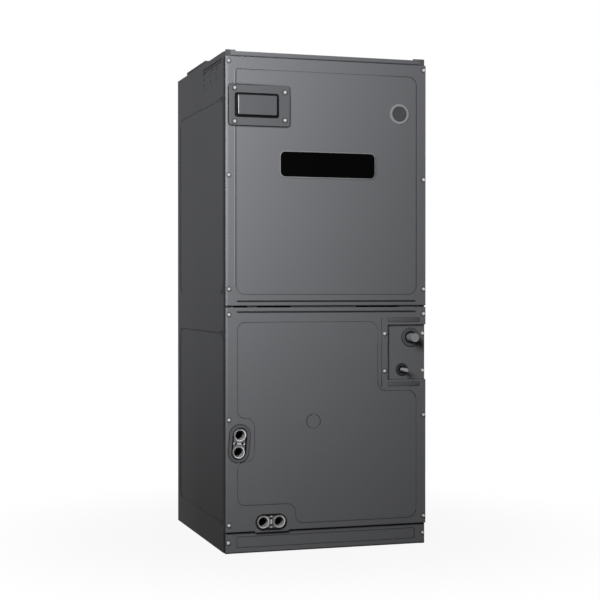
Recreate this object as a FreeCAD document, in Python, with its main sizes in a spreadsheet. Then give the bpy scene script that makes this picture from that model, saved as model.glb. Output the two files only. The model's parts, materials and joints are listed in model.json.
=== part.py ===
import FreeCAD, Part
import math
import os
import types

import Sketcher

# Driving sizes of the air handler, in millimetres.
# X runs to the right seen from the front, Y to the back, Z up from the floor.
sizes = {
    # Cabinet
    "cabinet_width": 533.4,
    "cabinet_depth": 552.0,
    "lower_section": 614.8,
    "upper_section": 635.2,
    "skin": 1.2,
    "bend_radius": 2.5,
    "door_proud": 8.0,
    "wrap_depth": 25.0,
    "fit_gap": 0.3,
    "front_return": 13.0,
    "rear_return": 14.0,
    "ear_rise": 3.2,
    "wide_ear": 18.0,
    "narrow_ear": 13.0,
    "base_lip": 8.0,
    "return_opening": 460.0,
    "supply_inset": 16.0,
    "supply_depth": 220.7,
    "supply_back_gap": 47.0,
    "supply_flange_rise": 18.6,
    "rail_leg": 28.0,
    "top_rail_drop": 35.0,
    "mid_rail_height": 38.0,
    "sill_drop": 17.0,
    # Pressed fields, beads and knockouts of the cabinet walls
    "wall_emboss": 2.0,
    "wall_field_radius": 30.0,
    "wall_field_front": 3.0,
    "wall_field_rear": 12.0,
    "back_field_margin": 42.0,
    "upper_field_above_split": 35.0,
    "upper_field_below_top": 114.0,
    "lower_field_above_floor": 70.0,
    "lower_field_below_split": 64.0,
    "press_depth": 0.9,
    "side_bead_height": 6.0,
    "side_bead_drop": 19.0,
    "side_bead_front": 44.0,
    "side_bead_rear": 239.0,
    "knockout_drop": 45.0,
    "small_knockout_radius": 17.0,
    "small_knockout_back": 87.0,
    "middle_knockout_radius": 20.0,
    "middle_knockout_back": 142.0,
    "large_knockout_radius": 22.5,
    "large_knockout_back": 216.0,
    "liner": 12.0,
    "liner_base": 110.0,
    "liner_setback": 71.0,
    # Doors
    "door_gap": 3.8,
    "upper_door_below_top": 13.5,
    "sill_line": 53.5,
    "field_depth": 1.0,
    "door_field_side": 24.5,
    "upper_field_low_margin": 26.5,
    "upper_field_top_margin": 29.5,
    "upper_field_radius": 24.0,
    "upper_field_sharp_radius": 7.0,
    "door_bead_height": 4.4,
    "door_bead_side": 30.0,
    "door_bead_margin": 11.5,
    "seal_width": 4.8,
    "seal_margin": 9.0,
    "door_liner_side": 40.0,
    # Breaker cover, sight glass and badge plate
    "breaker_side": 7.8,
    "breaker_width": 157.9,
    "breaker_height": 100.8,
    "breaker_top_drop": 70.5,
    "breaker_radius": 7.0,
    "breaker_thickness": 3.0,
    "breaker_edge": 1.8,
    "breaker_window_side": 22.1,
    "breaker_window_width": 114.8,
    "breaker_window_height": 61.4,
    "breaker_window_drop": 19.6,
    "breaker_window_radius": 6.0,
    "breaker_tray_depth": 6.0,
    "breaker_tray_wall": 1.5,
    "breaker_blank_side": 7.4,
    "breaker_blank_end": 6.2,
    "breaker_blank_radius": 3.5,
    "breaker_blank_rise": 16.0,
    "breaker_blank_edge": 2.0,
    "sight_side": 73.6,
    "sight_drop": 128.0,
    "sight_radius": 25.4,
    "sight_lens_radius": 18.8,
    "sight_neck": 24.0,
    "sight_proud": 1.2,
    "badge_width": 254.2,
    "badge_height": 66.0,
    "badge_radius": 14.0,
    "badge_drop": 264.5,
    "badge_thickness": 2.5,
    "badge_rim": 2.0,
    # Screws
    "screw_side": 7.2,
    "screw_washer_radius": 4.7,
    "screw_washer_height": 1.0,
    "screw_hex_radius": 3.8,
    "screw_hex_height": 3.2,
    "screw_shank_radius": 2.2,
    "screw_hole_gap": 0.2,
    "upper_screw_drop": 12.6,
    "upper_screw_rise": 42.0,
    "lower_screw_drop": 17.5,
    "lower_screw_rise": 19.3,
    "breaker_screw_side": 14.0,
    "breaker_screw_end": 9.0,
    "breaker_far_screw_end": 15.5,
    # Tube plate, grommets and refrigerant stubs
    "notch_width": 105.2,
    "notch_drop": 47.2,
    "notch_height": 141.6,
    "tube_plate_lap": 12.0,
    "tube_plate_side_lap": 20.0,
    "notch_strip_margin": 6.0,
    "notch_strip_height": 12.0,
    "notch_strip_side": 17.4,
    "notch_groove_gap": 15.6,
    "notch_groove_width": 2.0,
    "notch_screw_gap": 9.3,
    "notch_screw_end": 23.0,
    "suction_side": 40.2,
    "suction_drop": 33.3,
    "suction_radius": 11.11,
    "suction_line_radius": 10.4,
    "suction_grommet_radius": 24.0,
    "suction_grommet_hollow": 15.0,
    "liquid_side": 64.0,
    "liquid_rise": 25.4,
    "liquid_radius": 4.76,
    "liquid_line_radius": 4.2,
    "liquid_grommet_radius": 15.6,
    "liquid_grommet_hollow": 9.0,
    "grommet_lip": 3.0,
    "grommet_web": 1.2,
    "grommet_edge": 1.2,
    "stub_reach": 27.0,
    "stub_clearance": 0.8,
    "pipe_bend": 34.0,
    "liquid_bend": 18.0,
    # Drain ports
    "port_radius": 15.9,
    "port_bore_radius": 12.15,
    "insert_sleeve_radius": 14.0,
    "insert_sleeve": 24.0,
    "insert_flange": 4.0,
    "insert_edge": 1.5,
    "drain_bore_radius": 10.5,
    "port_proud": 3.0,
    "port_clearance": 1.5,
    "port_web": 12.0,
    "port_web_recess": 5.0,
    "insert_web_radius": 14.6,
    "insert_web_proud": 2.5,
    "insert_web_gap": 0.1,
    "insert_web_hole": 3.4,
    "insert_web_hole_side": 8.5,
    "port_gasket_thickness": 2.0,
    "main_port_side": 96.0,
    "main_port_pitch": 41.4,
    "main_port_height": 76.5,
    "main_gasket_band": 2.6,
    "side_port_side": 34.3,
    "side_port_lean": 3.4,
    "side_port_pitch": 42.1,
    "side_port_height": 253.4,
    "side_gasket_band": 8.1,
    # Lower door field
    "lower_field_side": 28.1,
    "lower_field_top": 35.0,
    "lower_field_bottom": 14.3,
    "lower_field_radius": 21.0,
    "lower_field_wide_radius": 26.0,
    "field_port_gap": 37.5,
    "field_port_below": 23.0,
    "field_port_above": 39.5,
    "field_main_gap": 41.5,
    "field_main_above": 41.5,
    "field_notch_gap": 24.7,
    "field_notch_below": 26.0,
    "door_knockout_radius": 19.0,
    "door_knockout_width": 1.5,
    "door_knockout_left": 38.3,
    "door_knockout_height": 324.6,
    # Filter section
    "filter_door_recess": 6.0,
    "filter_door_gap": 2.5,
    "filter_door_floor_gap": 1.0,
    "filter_field_side": 27.0,
    "filter_field_low": 13.0,
    "filter_field_high": 9.0,
    "filter_field_radius": 4.0,
    "filter_setback": 6.0,
    "filter_side_gap": 4.7,
    "filter_back_gap": 41.8,
    "filter_thickness": 19.0,
    "filter_border": 22.0,
    "filter_board": 1.6,
    "pleat_pitch": 14.0,
    "pleat_sheet": 1.0,
    "filter_rail_lip": 26.0,
    "filter_rail_back_gap": 36.0,
    "pan_shelf": 60.0,
    # Drain pans
    "pan_wall": 3.0,
    "pan_height": 40.0,
    "pan_front": 40.0,
    "pan_back": 40.0,
    "pan_side_gap": 3.5,
    "pan_trough": 98.0,
    "pan_end_trough": 50.0,
    "side_pan_depth": 34.0,
    "side_pan_height": 440.0,
    # Coil
    "coil_front": 76.0,
    "coil_back": 64.0,
    "coil_thickness": 46.0,
    "coil_below_split": 109.8,
    "coil_apex_gap": 5.0,
    "coil_foot_gap": 34.0,
    "tube_sheet": 1.5,
    "tube_sheet_margin": 3.0,
    "bend_tube_radius": 4.76,
    "bend_radius_coil": 11.0,
    "bend_pitch": 44.0,
    "bend_end_margin": 40.0,
    "front_bend_first": 6,
    "cap_side": 48.0,
    "header_setback": 46.0,
    "header_low": 104.0,
    "feeder_radius": 4.76,
    "feeder_bend": 12.0,
    "feeder_low": 118.0,
    "feeder_step": 29.0,
    "valve_width": 32.0,
    "valve_depth": 28.0,
    "valve_height": 46.0,
    "valve_dome_radius": 21.0,
    "valve_dome_height": 14.0,
    "valve_gap": 58.0,
    "distributor_length": 30.0,
    "distributor_top_radius": 8.0,
    "distributor_low_radius": 13.0,
    "capillary_radius": 2.4,
    "capillary_spread": 6.0,
    "capillary_bend": 10.0,
    "capillary_low": 238.0,
    "capillary_step": 22.0,
    # Blower
    "deck_drop": 204.0,
    "deck_flange": 20.0,
    "deck_front": 50.0,
    "blower_back_gap": 36.8,
    "blower_drop": 175.0,
    "scroll_first_radius": 154.0,
    "scroll_step": 24.0,
    "scroll_half_width": 148.0,
    "scroll_flange": 6.0,
    "inlet_radius": 112.0,
    "inlet_lip": 8.0,
    "wheel_radius": 132.0,
    "wheel_half_width": 126.0,
    "wheel_ring": 8.0,
    "wheel_ring_width": 6.0,
    "blade_count": 44,
    "blade_chord": 19.0,
    "blade_sheet": 1.2,
    "blade_lean": 16,
    "hub_radius": 19.0,
    "hub_length": 36.0,
    "shaft_radius": 6.35,
    "shaft_reach": 24.0,
    "bearing_gap": 0.05,
    "motor_radius": 68.0,
    "motor_length": 118.0,
    "motor_end": 178.0,
    "motor_boss_radius": 24.0,
    "motor_boss": 12.0,
    "module_length": 34.0,
    "module_radius": 60.0,
    "band_width": 24.0,
    "band_sheet": 1.6,
    "arm_count": 3,
    "arm_radius": 4.0,
    "arm_foot": 124.0,
    # Controls
    "control_setback": 62.0,
    "control_side": 18.0,
    "control_top_gap": 18.0,
    "control_foot": 24.0,
    "board_width": 128.0,
    "board_height": 104.0,
    "board_sheet": 1.6,
    "board_standoff": 8.0,
    "board_side": 24.0,
    "board_rise": 12.0,
    "board_relay": 18.0,
    "transformer_width": 66.0,
    "transformer_height": 56.0,
    "transformer_depth": 44.0,
    "transformer_left": 30.0,
    "transformer_rise": 10.0,
    "transformer_coil": 9.0,
    "terminal_width": 96.0,
    "terminal_height": 42.0,
    "terminal_depth": 26.0,
    "terminal_side": 30.0,
    "terminal_rise": 16.0,
    "heater_plate_width": 180.0,
    "heater_plate_height": 80.0,
    "heater_plate_top": 8.0,
}

doc = FreeCAD.newDocument("AirHandler")
sheet = doc.addObject("Spreadsheet::Sheet", "Sizes")
for row, (alias, number) in enumerate(sizes.items(), start=1):
    sheet.set(f"A{row}", alias)
    sheet.set(f"B{row}", str(number))
    sheet.setAlias(f"B{row}", alias)
doc.recompute()


class Dim:
    # A length of the object: the expression that a size is bound to, with its present value.
    def __init__(self, text, value):
        self.text = text
        self.value = value

    def __add__(self, other):
        return Dim(f"({self.text} + {text_of(other)})", self.value + value_of(other))

    def __radd__(self, other):
        return Dim(f"({text_of(other)} + {self.text})", value_of(other) + self.value)

    def __sub__(self, other):
        return Dim(f"({self.text} - {text_of(other)})", self.value - value_of(other))

    def __rsub__(self, other):
        return Dim(f"({text_of(other)} - {self.text})", value_of(other) - self.value)

    def __mul__(self, other):
        return Dim(f"({self.text} * {text_of(other)})", self.value * value_of(other))

    __rmul__ = __mul__

    def __truediv__(self, other):
        return Dim(f"({self.text} / {text_of(other)})", self.value / value_of(other))

    def __neg__(self):
        return Dim(f"(0 - {self.text})", -self.value)


def text_of(length):
    return length.text if isinstance(length, Dim) else f"({length})"


def value_of(length):
    return length.value if isinstance(length, Dim) else length


def arctan(ratio):
    return Dim(f"(atan({ratio.text}) / 1 deg)", math.degrees(math.atan(ratio.value)))


def cosine(angle):
    return Dim(f"cos({angle.text} * 1 deg)", math.cos(math.radians(angle.value)))


def sine(angle):
    return Dim(f"sin({angle.text} * 1 deg)", math.sin(math.radians(angle.value)))


s = types.SimpleNamespace(**{alias: Dim(f"Sizes.{alias}", sheet.get(alias)) for alias in sizes})

nodes = []
pockets = []


def node(thing, label):
    thing.Label = label
    nodes.append(thing)
    return thing


def vector(x, y, z):
    return FreeCAD.Vector(value_of(x), value_of(y), value_of(z))


def bind(thing, prop, length):
    if isinstance(length, Dim):
        thing.setExpression(prop, length.text)
    else:
        setattr(thing, prop, length)


def place(thing, x, y, z, rotation=None):
    thing.Placement = FreeCAD.Placement(vector(x, y, z), rotation or FreeCAD.Rotation())
    for axis, length in zip("xyz", (x, y, z)):
        if isinstance(length, Dim):
            thing.setExpression(f"Placement.Base.{axis}", length.text)
    return thing


# Rotations that lay a part's own Z axis, or a turned part's own X axis, along a direction of the cabinet.
x_axis = FreeCAD.Vector(1, 0, 0)
y_axis = FreeCAD.Vector(0, 1, 0)
z_axis = FreeCAD.Vector(0, 0, 1)
z_along = {
    "X": FreeCAD.Rotation(y_axis, 90),
    "Y": FreeCAD.Rotation(x_axis, -90),
    "-Y": FreeCAD.Rotation(x_axis, 90),
    "Z": FreeCAD.Rotation(),
}
x_along = {
    "X": FreeCAD.Rotation(),
    "-X": FreeCAD.Rotation(z_axis, 180),
    "-Y": FreeCAD.Rotation(z_axis, -90),
}


def block(name, x, y, z):
    box = doc.addObject("Part::Box", name)
    for prop, (low, high) in zip(("Length", "Width", "Height"), (x, y, z)):
        bind(box, prop, high - low)
    return place(box, x[0], y[0], z[0])


def rod(name, radius, length, x, y, z, along):
    cylinder = doc.addObject("Part::Cylinder", name)
    bind(cylinder, "Radius", radius)
    bind(cylinder, "Height", length)
    return place(cylinder, x, y, z, z_along[along])


def join(name, shapes):
    fused = doc.addObject("Part::MultiFuse", name)
    fused.Shapes = shapes
    return fused


def group(name, shapes):
    compound = doc.addObject("Part::Compound", name)
    compound.Links = shapes
    return compound


def cut(name, base, *tools):
    result = base
    for index, tool in enumerate(tools):
        step = doc.addObject("Part::Cut", f"{name}_{index}")
        step.Base = result
        step.Tool = tool
        result = step
    return result


# Sketched bodies. Each plane's sketch is drawn in the two cabinet directions that it holds.
plane_roles = {"XY": "XY_Plane", "XZ": "XZ_Plane", "YZ": "YZ_Plane"}
plane_normals = {"XY": 1, "XZ": -1, "YZ": 1}


def body(name):
    return doc.addObject("PartDesign::Body", name)


def fix(sketch, geometry, end, u, v):
    for kind, length, axis in (("DistanceX", u, -2), ("DistanceY", v, -1)):
        if not isinstance(length, Dim) and length == 0:
            sketch.addConstraint(Sketcher.Constraint("PointOnObject", geometry, end, axis))
            continue
        rule = Sketcher.Constraint(kind, -1, 1, geometry, end, value_of(length))
        index = sketch.addConstraint(rule)
        if isinstance(length, Dim):
            sketch.setExpression(f"Constraints[{index}]", length.text)


def set_radius(sketch, geometry, radius):
    index = sketch.addConstraint(Sketcher.Constraint("Radius", geometry, value_of(radius)))
    sketch.setExpression(f"Constraints[{index}]", text_of(radius))


def tangent(sketch, first, first_end, second, second_end):
    sketch.addConstraint(Sketcher.Constraint("Tangent", first, first_end, second, second_end))


def outline(sketch, corners):
    # A closed outline: each corner is (u, v), or (u, v, radius) where it is rounded.
    count = len(corners)
    points = [vector(corner[0], corner[1], 0) for corner in corners]
    entries = list(points)
    exits = list(points)
    arcs = {}
    for index, corner in enumerate(corners):
        if len(corner) < 3:
            continue
        point = points[index]
        inward = (point - points[index - 1]).normalize()
        outward = (points[(index + 1) % count] - point).normalize()
        turn = inward.x * outward.y - inward.y * outward.x
        radius = value_of(corner[2])
        setback = radius * math.tan(inward.getAngle(outward) / 2)
        entries[index] = point - inward * setback
        exits[index] = point + outward * setback
        side = 1 if turn > 0 else -1
        centre = entries[index] + FreeCAD.Vector(-inward.y, inward.x, 0) * radius * side
        start, end = (entries[index], exits[index]) if side > 0 else (exits[index], entries[index])
        angles = [math.atan2(p.y - centre.y, p.x - centre.x) for p in (start, end)]
        circle = Part.Circle(centre, z_axis, radius)
        arcs[index] = (Part.ArcOfCircle(circle, angles[0], angles[1]), side)
    lines = []
    for index in range(count):
        segment = Part.LineSegment(exits[index], entries[(index + 1) % count])
        lines.append(sketch.addGeometry(segment, False))
    for index, corner in enumerate(corners):
        before, after = lines[index - 1], lines[index]
        if index not in arcs:
            sketch.addConstraint(Sketcher.Constraint("Coincident", before, 2, after, 1))
            fix(sketch, after, 1, corner[0], corner[1])
            continue
        arc, side = arcs[index]
        curve = sketch.addGeometry(arc, False)
        mark = sketch.addGeometry(Part.Point(points[index]), True)
        fix(sketch, mark, 1, corner[0], corner[1])
        sketch.addConstraint(Sketcher.Constraint("PointOnObject", mark, 1, before))
        sketch.addConstraint(Sketcher.Constraint("PointOnObject", mark, 1, after))
        tangent(sketch, before, 2, curve, 1 if side > 0 else 2)
        tangent(sketch, curve, 2 if side > 0 else 1, after, 1)
        set_radius(sketch, curve, corner[2])


def circle_loop(sketch, u, v, radius):
    circle = sketch.addGeometry(Part.Circle(vector(u, v, 0), z_axis, value_of(radius)), False)
    fix(sketch, circle, 3, u, v)
    set_radius(sketch, circle, radius)


def slot_loop(sketch, first, second, radius):
    # Two half circles round the end points, joined by straight sides.
    ends = [vector(first[0], first[1], 0), vector(second[0], second[1], 0)]
    along = (ends[1] - ends[0]).normalize()
    across = FreeCAD.Vector(-along.y, along.x, 0)
    reach = value_of(radius)
    heading = math.atan2(along.y, along.x)
    right = Part.LineSegment(ends[0] - across * reach, ends[1] - across * reach)
    left = Part.LineSegment(ends[1] + across * reach, ends[0] + across * reach)
    quarter_angle = math.pi / 2
    far_circle = Part.Circle(ends[1], z_axis, reach)
    near_circle = Part.Circle(ends[0], z_axis, reach)
    far = Part.ArcOfCircle(far_circle, heading - quarter_angle, heading + quarter_angle)
    near = Part.ArcOfCircle(near_circle, heading + quarter_angle, heading + 3 * quarter_angle)
    sides = [sketch.addGeometry(edge, False) for edge in (right, far, left, near)]
    for index in range(4):
        tangent(sketch, sides[index - 1], 2, sides[index], 1)
    fix(sketch, sides[3], 3, first[0], first[1])
    fix(sketch, sides[1], 3, second[0], second[1])
    for curve in (sides[1], sides[3]):
        set_radius(sketch, curve, radius)


def circle(u, v, radius):
    return ("circle", u, v, radius)


def slot(first, second, radius):
    return ("slot", first, second, radius)


def rectangle(u, v, radius=None):
    corners = [(u[0], v[0]), (u[1], v[0]), (u[1], v[1]), (u[0], v[1])]
    return corners if radius is None else [(*corner, radius) for corner in corners]


def inset_corners(corners, margin):
    # The same outline, drawn inside the first by a constant margin; corners run anticlockwise.
    count = len(corners)
    points = [vector(corner[0], corner[1], 0) for corner in corners]
    moved = []
    for index, corner in enumerate(corners):
        before = (points[index] - points[index - 1]).normalize()
        after = (points[(index + 1) % count] - points[index]).normalize()
        shift = [-round(before.y + after.y), round(before.x + after.x)]
        turn = 1 if before.x * after.y - before.y * after.x > 0 else -1
        u = corner[0] + margin * shift[0]
        v = corner[1] + margin * shift[1]
        moved.append((u, v, corner[2] - margin * turn))
    return moved


def draw(part, plane, at, loops):
    sketch = part.newObject("Sketcher::SketchObject", f"{part.Name}_sketch")
    origin = next(item for item in part.Origin.OriginFeatures if item.Role == plane_roles[plane])
    sketch.AttachmentSupport = [(origin, "")]
    sketch.MapMode = "FlatFace"
    offset = at * plane_normals[plane]
    if isinstance(offset, Dim):
        sketch.setExpression("AttachmentOffset.Base.z", offset.text)
    for loop in loops:
        if loop[0] == "circle":
            circle_loop(sketch, *loop[1:])
        elif loop[0] == "slot":
            slot_loop(sketch, *loop[1:])
        else:
            outline(sketch, loop)
    return sketch


def extrude(kind, part, plane, start, end, loops):
    base = part.Tip
    feature_sketch = draw(part, plane, start, loops)
    feature = part.newObject(f"PartDesign::{kind}", f"{part.Name}_{kind.lower()}")
    feature.Profile = (feature_sketch, [""])
    forward = value_of(end - start) * plane_normals[plane] > 0
    feature.Reversed = forward if kind == "Pocket" else not forward
    length = end - start if value_of(end - start) > 0 else start - end
    bind(feature, "Length", length)
    if kind == "Pocket":
        pockets.append((base, feature))
    return feature


def pad(part, plane, start, end, *loops):
    return extrude("Pad", part, plane, start, end, loops)


def pocket(part, plane, start, end, *loops):
    return extrude("Pocket", part, plane, start, end, loops)


def round_edges(part, radius, chosen):
    # Rounds the edges of the body so far that the test picks.
    doc.recompute()
    base = part.Tip
    picked = [f"Edge{number}" for number, edge in enumerate(base.Shape.Edges, start=1) if chosen(edge)]
    fillet = part.newObject("PartDesign::Fillet", f"{part.Name}_round")
    fillet.Base = (base, picked)
    bind(fillet, "Radius", radius)
    return fillet


def lathe(name, profile, x, y, z, along):
    # A turned piece: its profile is (distance along the axis, radius).
    part = body(name)
    profile_sketch = draw(part, "XZ", 0, [profile])
    turned = part.newObject("PartDesign::Revolution", f"{part.Name}_turned")
    turned.Profile = (profile_sketch, [""])
    turned.ReferenceAxis = (profile_sketch, ["H_Axis"])
    turned.Angle = 360
    return place(part, x, y, z, x_along[along])


def pipe(name, radius, points, bend):
    # A round tube along straight runs, joined by tangent bends.
    corners = [vector(*point) for point in points]
    turn_radius = value_of(bend)
    edges = []
    start = corners[0]
    for before, corner, after in zip(corners, corners[1:], corners[2:]):
        inward = (corner - before).normalize()
        outward = (after - corner).normalize()
        half_turn = inward.getAngle(outward) / 2
        setback = turn_radius * math.tan(half_turn)
        entry = corner - inward * setback
        leave = corner + outward * setback
        middle = corner + (outward - inward).normalize() * turn_radius * (1 / math.cos(half_turn) - 1)
        edges.append(Part.LineSegment(start, entry).toShape())
        edges.append(Part.Arc(entry, middle, leave).toShape())
        start = leave
    edges.append(Part.LineSegment(start, corners[-1]).toShape())
    route = Part.Wire(edges)
    section = Part.Wire([Part.Circle(corners[0], corners[1] - corners[0], value_of(radius)).toShape()])
    tube = doc.addObject("Part::Feature", name)
    tube.Shape = route.makePipeShell([section], True, False)
    return tube


# Main planes of the cabinet
half = s.cabinet_width / 2
height = s.lower_section + s.upper_section
split = s.lower_section
face_y = -s.cabinet_depth / 2
back_y = s.cabinet_depth / 2
frame_y = face_y + s.door_proud
wall_x = half - s.skin
post_x = half - s.skin - s.fit_gap
post_inner = post_x - s.front_return
joggle_y = face_y + s.wrap_depth + s.fit_gap
wall_top = height - s.skin
liner_outer = wall_x - s.wall_emboss
liner_inner = liner_outer - s.liner
back_wall = back_y - s.skin
liner_back = back_wall - s.wall_emboss
wall_fields = (
    (s.lower_field_above_floor, split - s.lower_field_below_split),
    (split + s.upper_field_above_split, height - s.upper_field_below_top),
)


def side_panel(label, side):
    # A bent side wall with an inset front post that the door edges wrap over.
    panel = body(label)
    profile = [
        (side * (half - s.rear_return), back_wall),
        (side * half, back_wall),
        (side * half, joggle_y),
        (side * post_x, joggle_y),
        (side * post_x, frame_y),
        (side * post_inner, frame_y),
        (side * post_inner, frame_y + s.skin),
        (side * (post_x - s.skin), frame_y + s.skin),
        (side * (post_x - s.skin), joggle_y + s.skin),
        (side * wall_x, joggle_y + s.skin),
        (side * wall_x, back_wall - s.skin),
        (side * (half - s.rear_return), back_wall - s.skin),
    ]
    pad(panel, "XY", 0 * half, wall_top, profile)
    ear_x = (post_inner, post_x) if side > 0 else (-post_x, -post_inner)
    pad(panel, "XY", wall_top, height + s.ear_rise, rectangle(ear_x, (frame_y, frame_y + s.skin)))
    field_y = (joggle_y + s.skin + s.wall_field_front, back_y - s.wall_field_rear - s.rear_return)
    for low, high in wall_fields:
        field = rectangle(field_y, (low, high), s.wall_field_radius)
        pad(panel, "YZ", side * wall_x, side * (wall_x - s.wall_emboss), field)
        hollow = inset_corners(field, s.skin)
        pocket(panel, "YZ", side * half, side * (half - s.wall_emboss), hollow)
    bead_z = height - s.side_bead_drop
    bead_radius = s.side_bead_height / 2
    bead_ends = [(face_y + reach, bead_z) for reach in (s.side_bead_front, s.side_bead_rear)]
    knockouts = (
        (s.small_knockout_back, s.small_knockout_radius),
        (s.middle_knockout_back, s.middle_knockout_radius),
        (s.large_knockout_back, s.large_knockout_radius),
    )
    pressed = [circle(face_y + reach, height - s.knockout_drop, radius) for reach, radius in knockouts]
    pressed.append(slot(bead_ends[0], bead_ends[1], bead_radius))
    pocket(panel, "YZ", side * half, side * (half - s.press_depth), *pressed)
    return node(panel, label)


side_panel("left_side_panel", -1)
side_panel("right_side_panel", 1)


def back_panel():
    panel = body("back_panel")
    pad(panel, "XZ", back_y, back_wall, rectangle((-half, half), (0, wall_top)))
    for low, high in wall_fields:
        field_x = half - s.back_field_margin
        field = rectangle((-field_x, field_x), (low, high), s.wall_field_radius)
        pad(panel, "XZ", back_wall, back_wall - s.wall_emboss, field)
        pocket(panel, "XZ", back_y, back_y - s.wall_emboss, inset_corners(field, s.skin))
    node(panel, "back_panel")


back_panel()

# Top of the cabinet, its supply opening and the duct flange round it
supply_x = half - s.supply_inset
supply_back = back_y - s.supply_back_gap
supply_front = supply_back - s.supply_depth


def top_and_flange():
    sheet_top = block("top_sheet", (-half, half), (joggle_y, back_y), (wall_top, height))
    inner_x = supply_x - s.skin
    inner_y = (supply_front + s.skin, supply_back - s.skin)
    hole = block("top_hole", (-inner_x, inner_x), inner_y, (wall_top - s.skin, height + s.skin))
    node(cut("top_panel", sheet_top, hole), "top_panel")
    rise = (height, height + s.supply_flange_rise)
    ring = block("flange_ring", (-supply_x, supply_x), (supply_front, supply_back), rise)
    inside = block("flange_inside", (-inner_x, inner_x), inner_y, (height - s.skin, rise[1] + s.skin))
    node(cut("supply_flange", ring, inside), "supply_flange")


top_and_flange()


def front_rails():
    plate_y = (frame_y, frame_y + s.skin)
    across = (-post_inner, post_inner)
    plate = block("top_rail_plate", across, plate_y, (height - s.top_rail_drop, height))
    lip = block("top_rail_lip", (-post_x, post_x), (frame_y + s.skin, joggle_y), (wall_top, height))
    ear_z = (height, height + s.ear_rise)
    right_ear = block("top_rail_right_ear", (post_inner - s.wide_ear, post_inner), plate_y, ear_z)
    left_ear = block("top_rail_left_ear", (-post_inner, -post_inner + s.narrow_ear), plate_y, ear_z)
    node(join("top_rail", [plate, lip, right_ear, left_ear]), "top_rail")
    leg_y = (frame_y, frame_y + s.rail_leg)
    middle = (split - s.mid_rail_height / 2, split + s.mid_rail_height / 2)
    web = block("mid_rail_web", across, plate_y, middle)
    low_leg = block("mid_rail_low_leg", across, leg_y, (middle[0], middle[0] + s.skin))
    high_leg = block("mid_rail_high_leg", across, leg_y, (middle[1] - s.skin, middle[1]))
    node(join("mid_rail", [web, low_leg, high_leg]), "mid_rail")
    sill = (s.sill_line - s.sill_drop, s.sill_line)
    sill_web = block("sill_rail_web", across, plate_y, sill)
    sill_leg = block("sill_rail_leg", across, leg_y, (sill[1] - s.skin, sill[1]))
    node(join("sill_rail", [sill_web, sill_leg]), "sill_rail")


front_rails()

base_x = post_x - s.skin
base_front = frame_y + s.skin
base_back = back_wall - s.skin


def base_pan():
    pan = body("base_pan")
    pad(pan, "XY", 0 * half, s.base_lip, rectangle((-base_x, base_x), (base_front, base_back)))
    tray_x = base_x - s.skin
    tray = rectangle((-tray_x, tray_x), (base_front + s.skin, base_back - s.skin))
    pocket(pan, "XY", s.base_lip, s.skin, tray)
    reach = s.return_opening / 2
    pocket(pan, "XY", s.skin, 0 * half, rectangle((-reach, reach), (-reach, reach)))
    node(pan, "base_pan")


base_pan()

# Filter section: rails that hold the filter's edges and carry the drain pan
filter_low = s.base_lip + s.skin + s.fit_gap
filter_high = filter_low + s.filter_thickness
filter_x = post_inner - s.filter_side_gap
filter_front = frame_y + s.filter_setback
filter_back = back_wall - s.filter_back_gap
rail_top = s.sill_line + s.skin * 2
rail_front = joggle_y + s.skin
rail_back = back_wall - s.filter_rail_back_gap


def filter_rails():
    rails = []
    for name, side in (("left_rail", -1), ("right_rail", 1)):
        rail = body(name)
        lip_x = side * (wall_x - s.filter_rail_lip)
        web_x = side * (wall_x - s.skin)
        wall = side * wall_x
        channel_top = filter_high + s.fit_gap
        profile = [
            (wall, s.base_lip),
            (lip_x, s.base_lip),
            (lip_x, s.base_lip + s.skin),
            (web_x, s.base_lip + s.skin),
            (web_x, channel_top),
            (lip_x, channel_top),
            (lip_x, channel_top + s.skin),
            (web_x, channel_top + s.skin),
            (web_x, rail_top - s.skin),
            (side * (wall_x - s.pan_shelf), rail_top - s.skin),
            (side * (wall_x - s.pan_shelf), rail_top),
            (wall, rail_top),
        ]
        pad(rail, "XZ", rail_back, rail_front, profile)
        rails.append(rail)
    node(group("filter_rails", rails), "filter_rails")


filter_rails()


def filter_cartridge():
    filter_z = (filter_low, filter_high)
    outer = block("filter_outer", (-filter_x, filter_x), (filter_front, filter_back), filter_z)
    window_x = filter_x - s.filter_border
    window_y = (filter_front + s.filter_border, filter_back - s.filter_border)
    window_z = (filter_low - s.skin, filter_high + s.skin)
    window = block("filter_window", (-window_x, window_x), window_y, window_z)
    room_x = filter_x - s.filter_board
    room_y = (filter_front + s.filter_board, filter_back - s.filter_board)
    room = block("filter_room", (-room_x, room_x), room_y,
                 (filter_low + s.filter_board, filter_high - s.filter_board))
    node(cut("filter_frame", outer, window, room), "filter_frame")
    # The media is one sheet folded to and fro across the frame.
    low = value_of(filter_low + s.filter_board + s.fit_gap)
    high = value_of(filter_high - s.filter_board - s.fit_gap)
    reach = value_of(room_x - s.fit_gap)
    folds = int(2 * reach / s.pleat_pitch.value) * 2
    step = 2 * reach / folds
    sheet_height = s.pleat_sheet.value
    lower = [FreeCAD.Vector(-reach + step * i, 0, low if i % 2 == 0 else high - sheet_height)
             for i in range(folds + 1)]
    upper = [point + FreeCAD.Vector(0, 0, sheet_height) for point in reversed(lower)]
    ring = Part.makePolygon(lower + upper + lower[:1])
    length = value_of(room_y[1] - room_y[0] - s.fit_gap * 2)
    media = doc.addObject("Part::Feature", "filter_media")
    media.Shape = Part.Face(ring).extrude(FreeCAD.Vector(0, length, 0))
    place(media, 0, room_y[0] + s.fit_gap, 0)
    node(media, "filter_media")


filter_cartridge()

# Screws: hex washer heads, each with a short shank behind its seat
upper_door_low = split + s.door_gap / 2
upper_door_high = height - s.upper_door_below_top
lower_door_low = s.sill_line
lower_door_high = split - s.door_gap / 2
screw_x = half - s.screw_side
hole_radius = s.screw_shank_radius + s.screw_hole_gap


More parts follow.
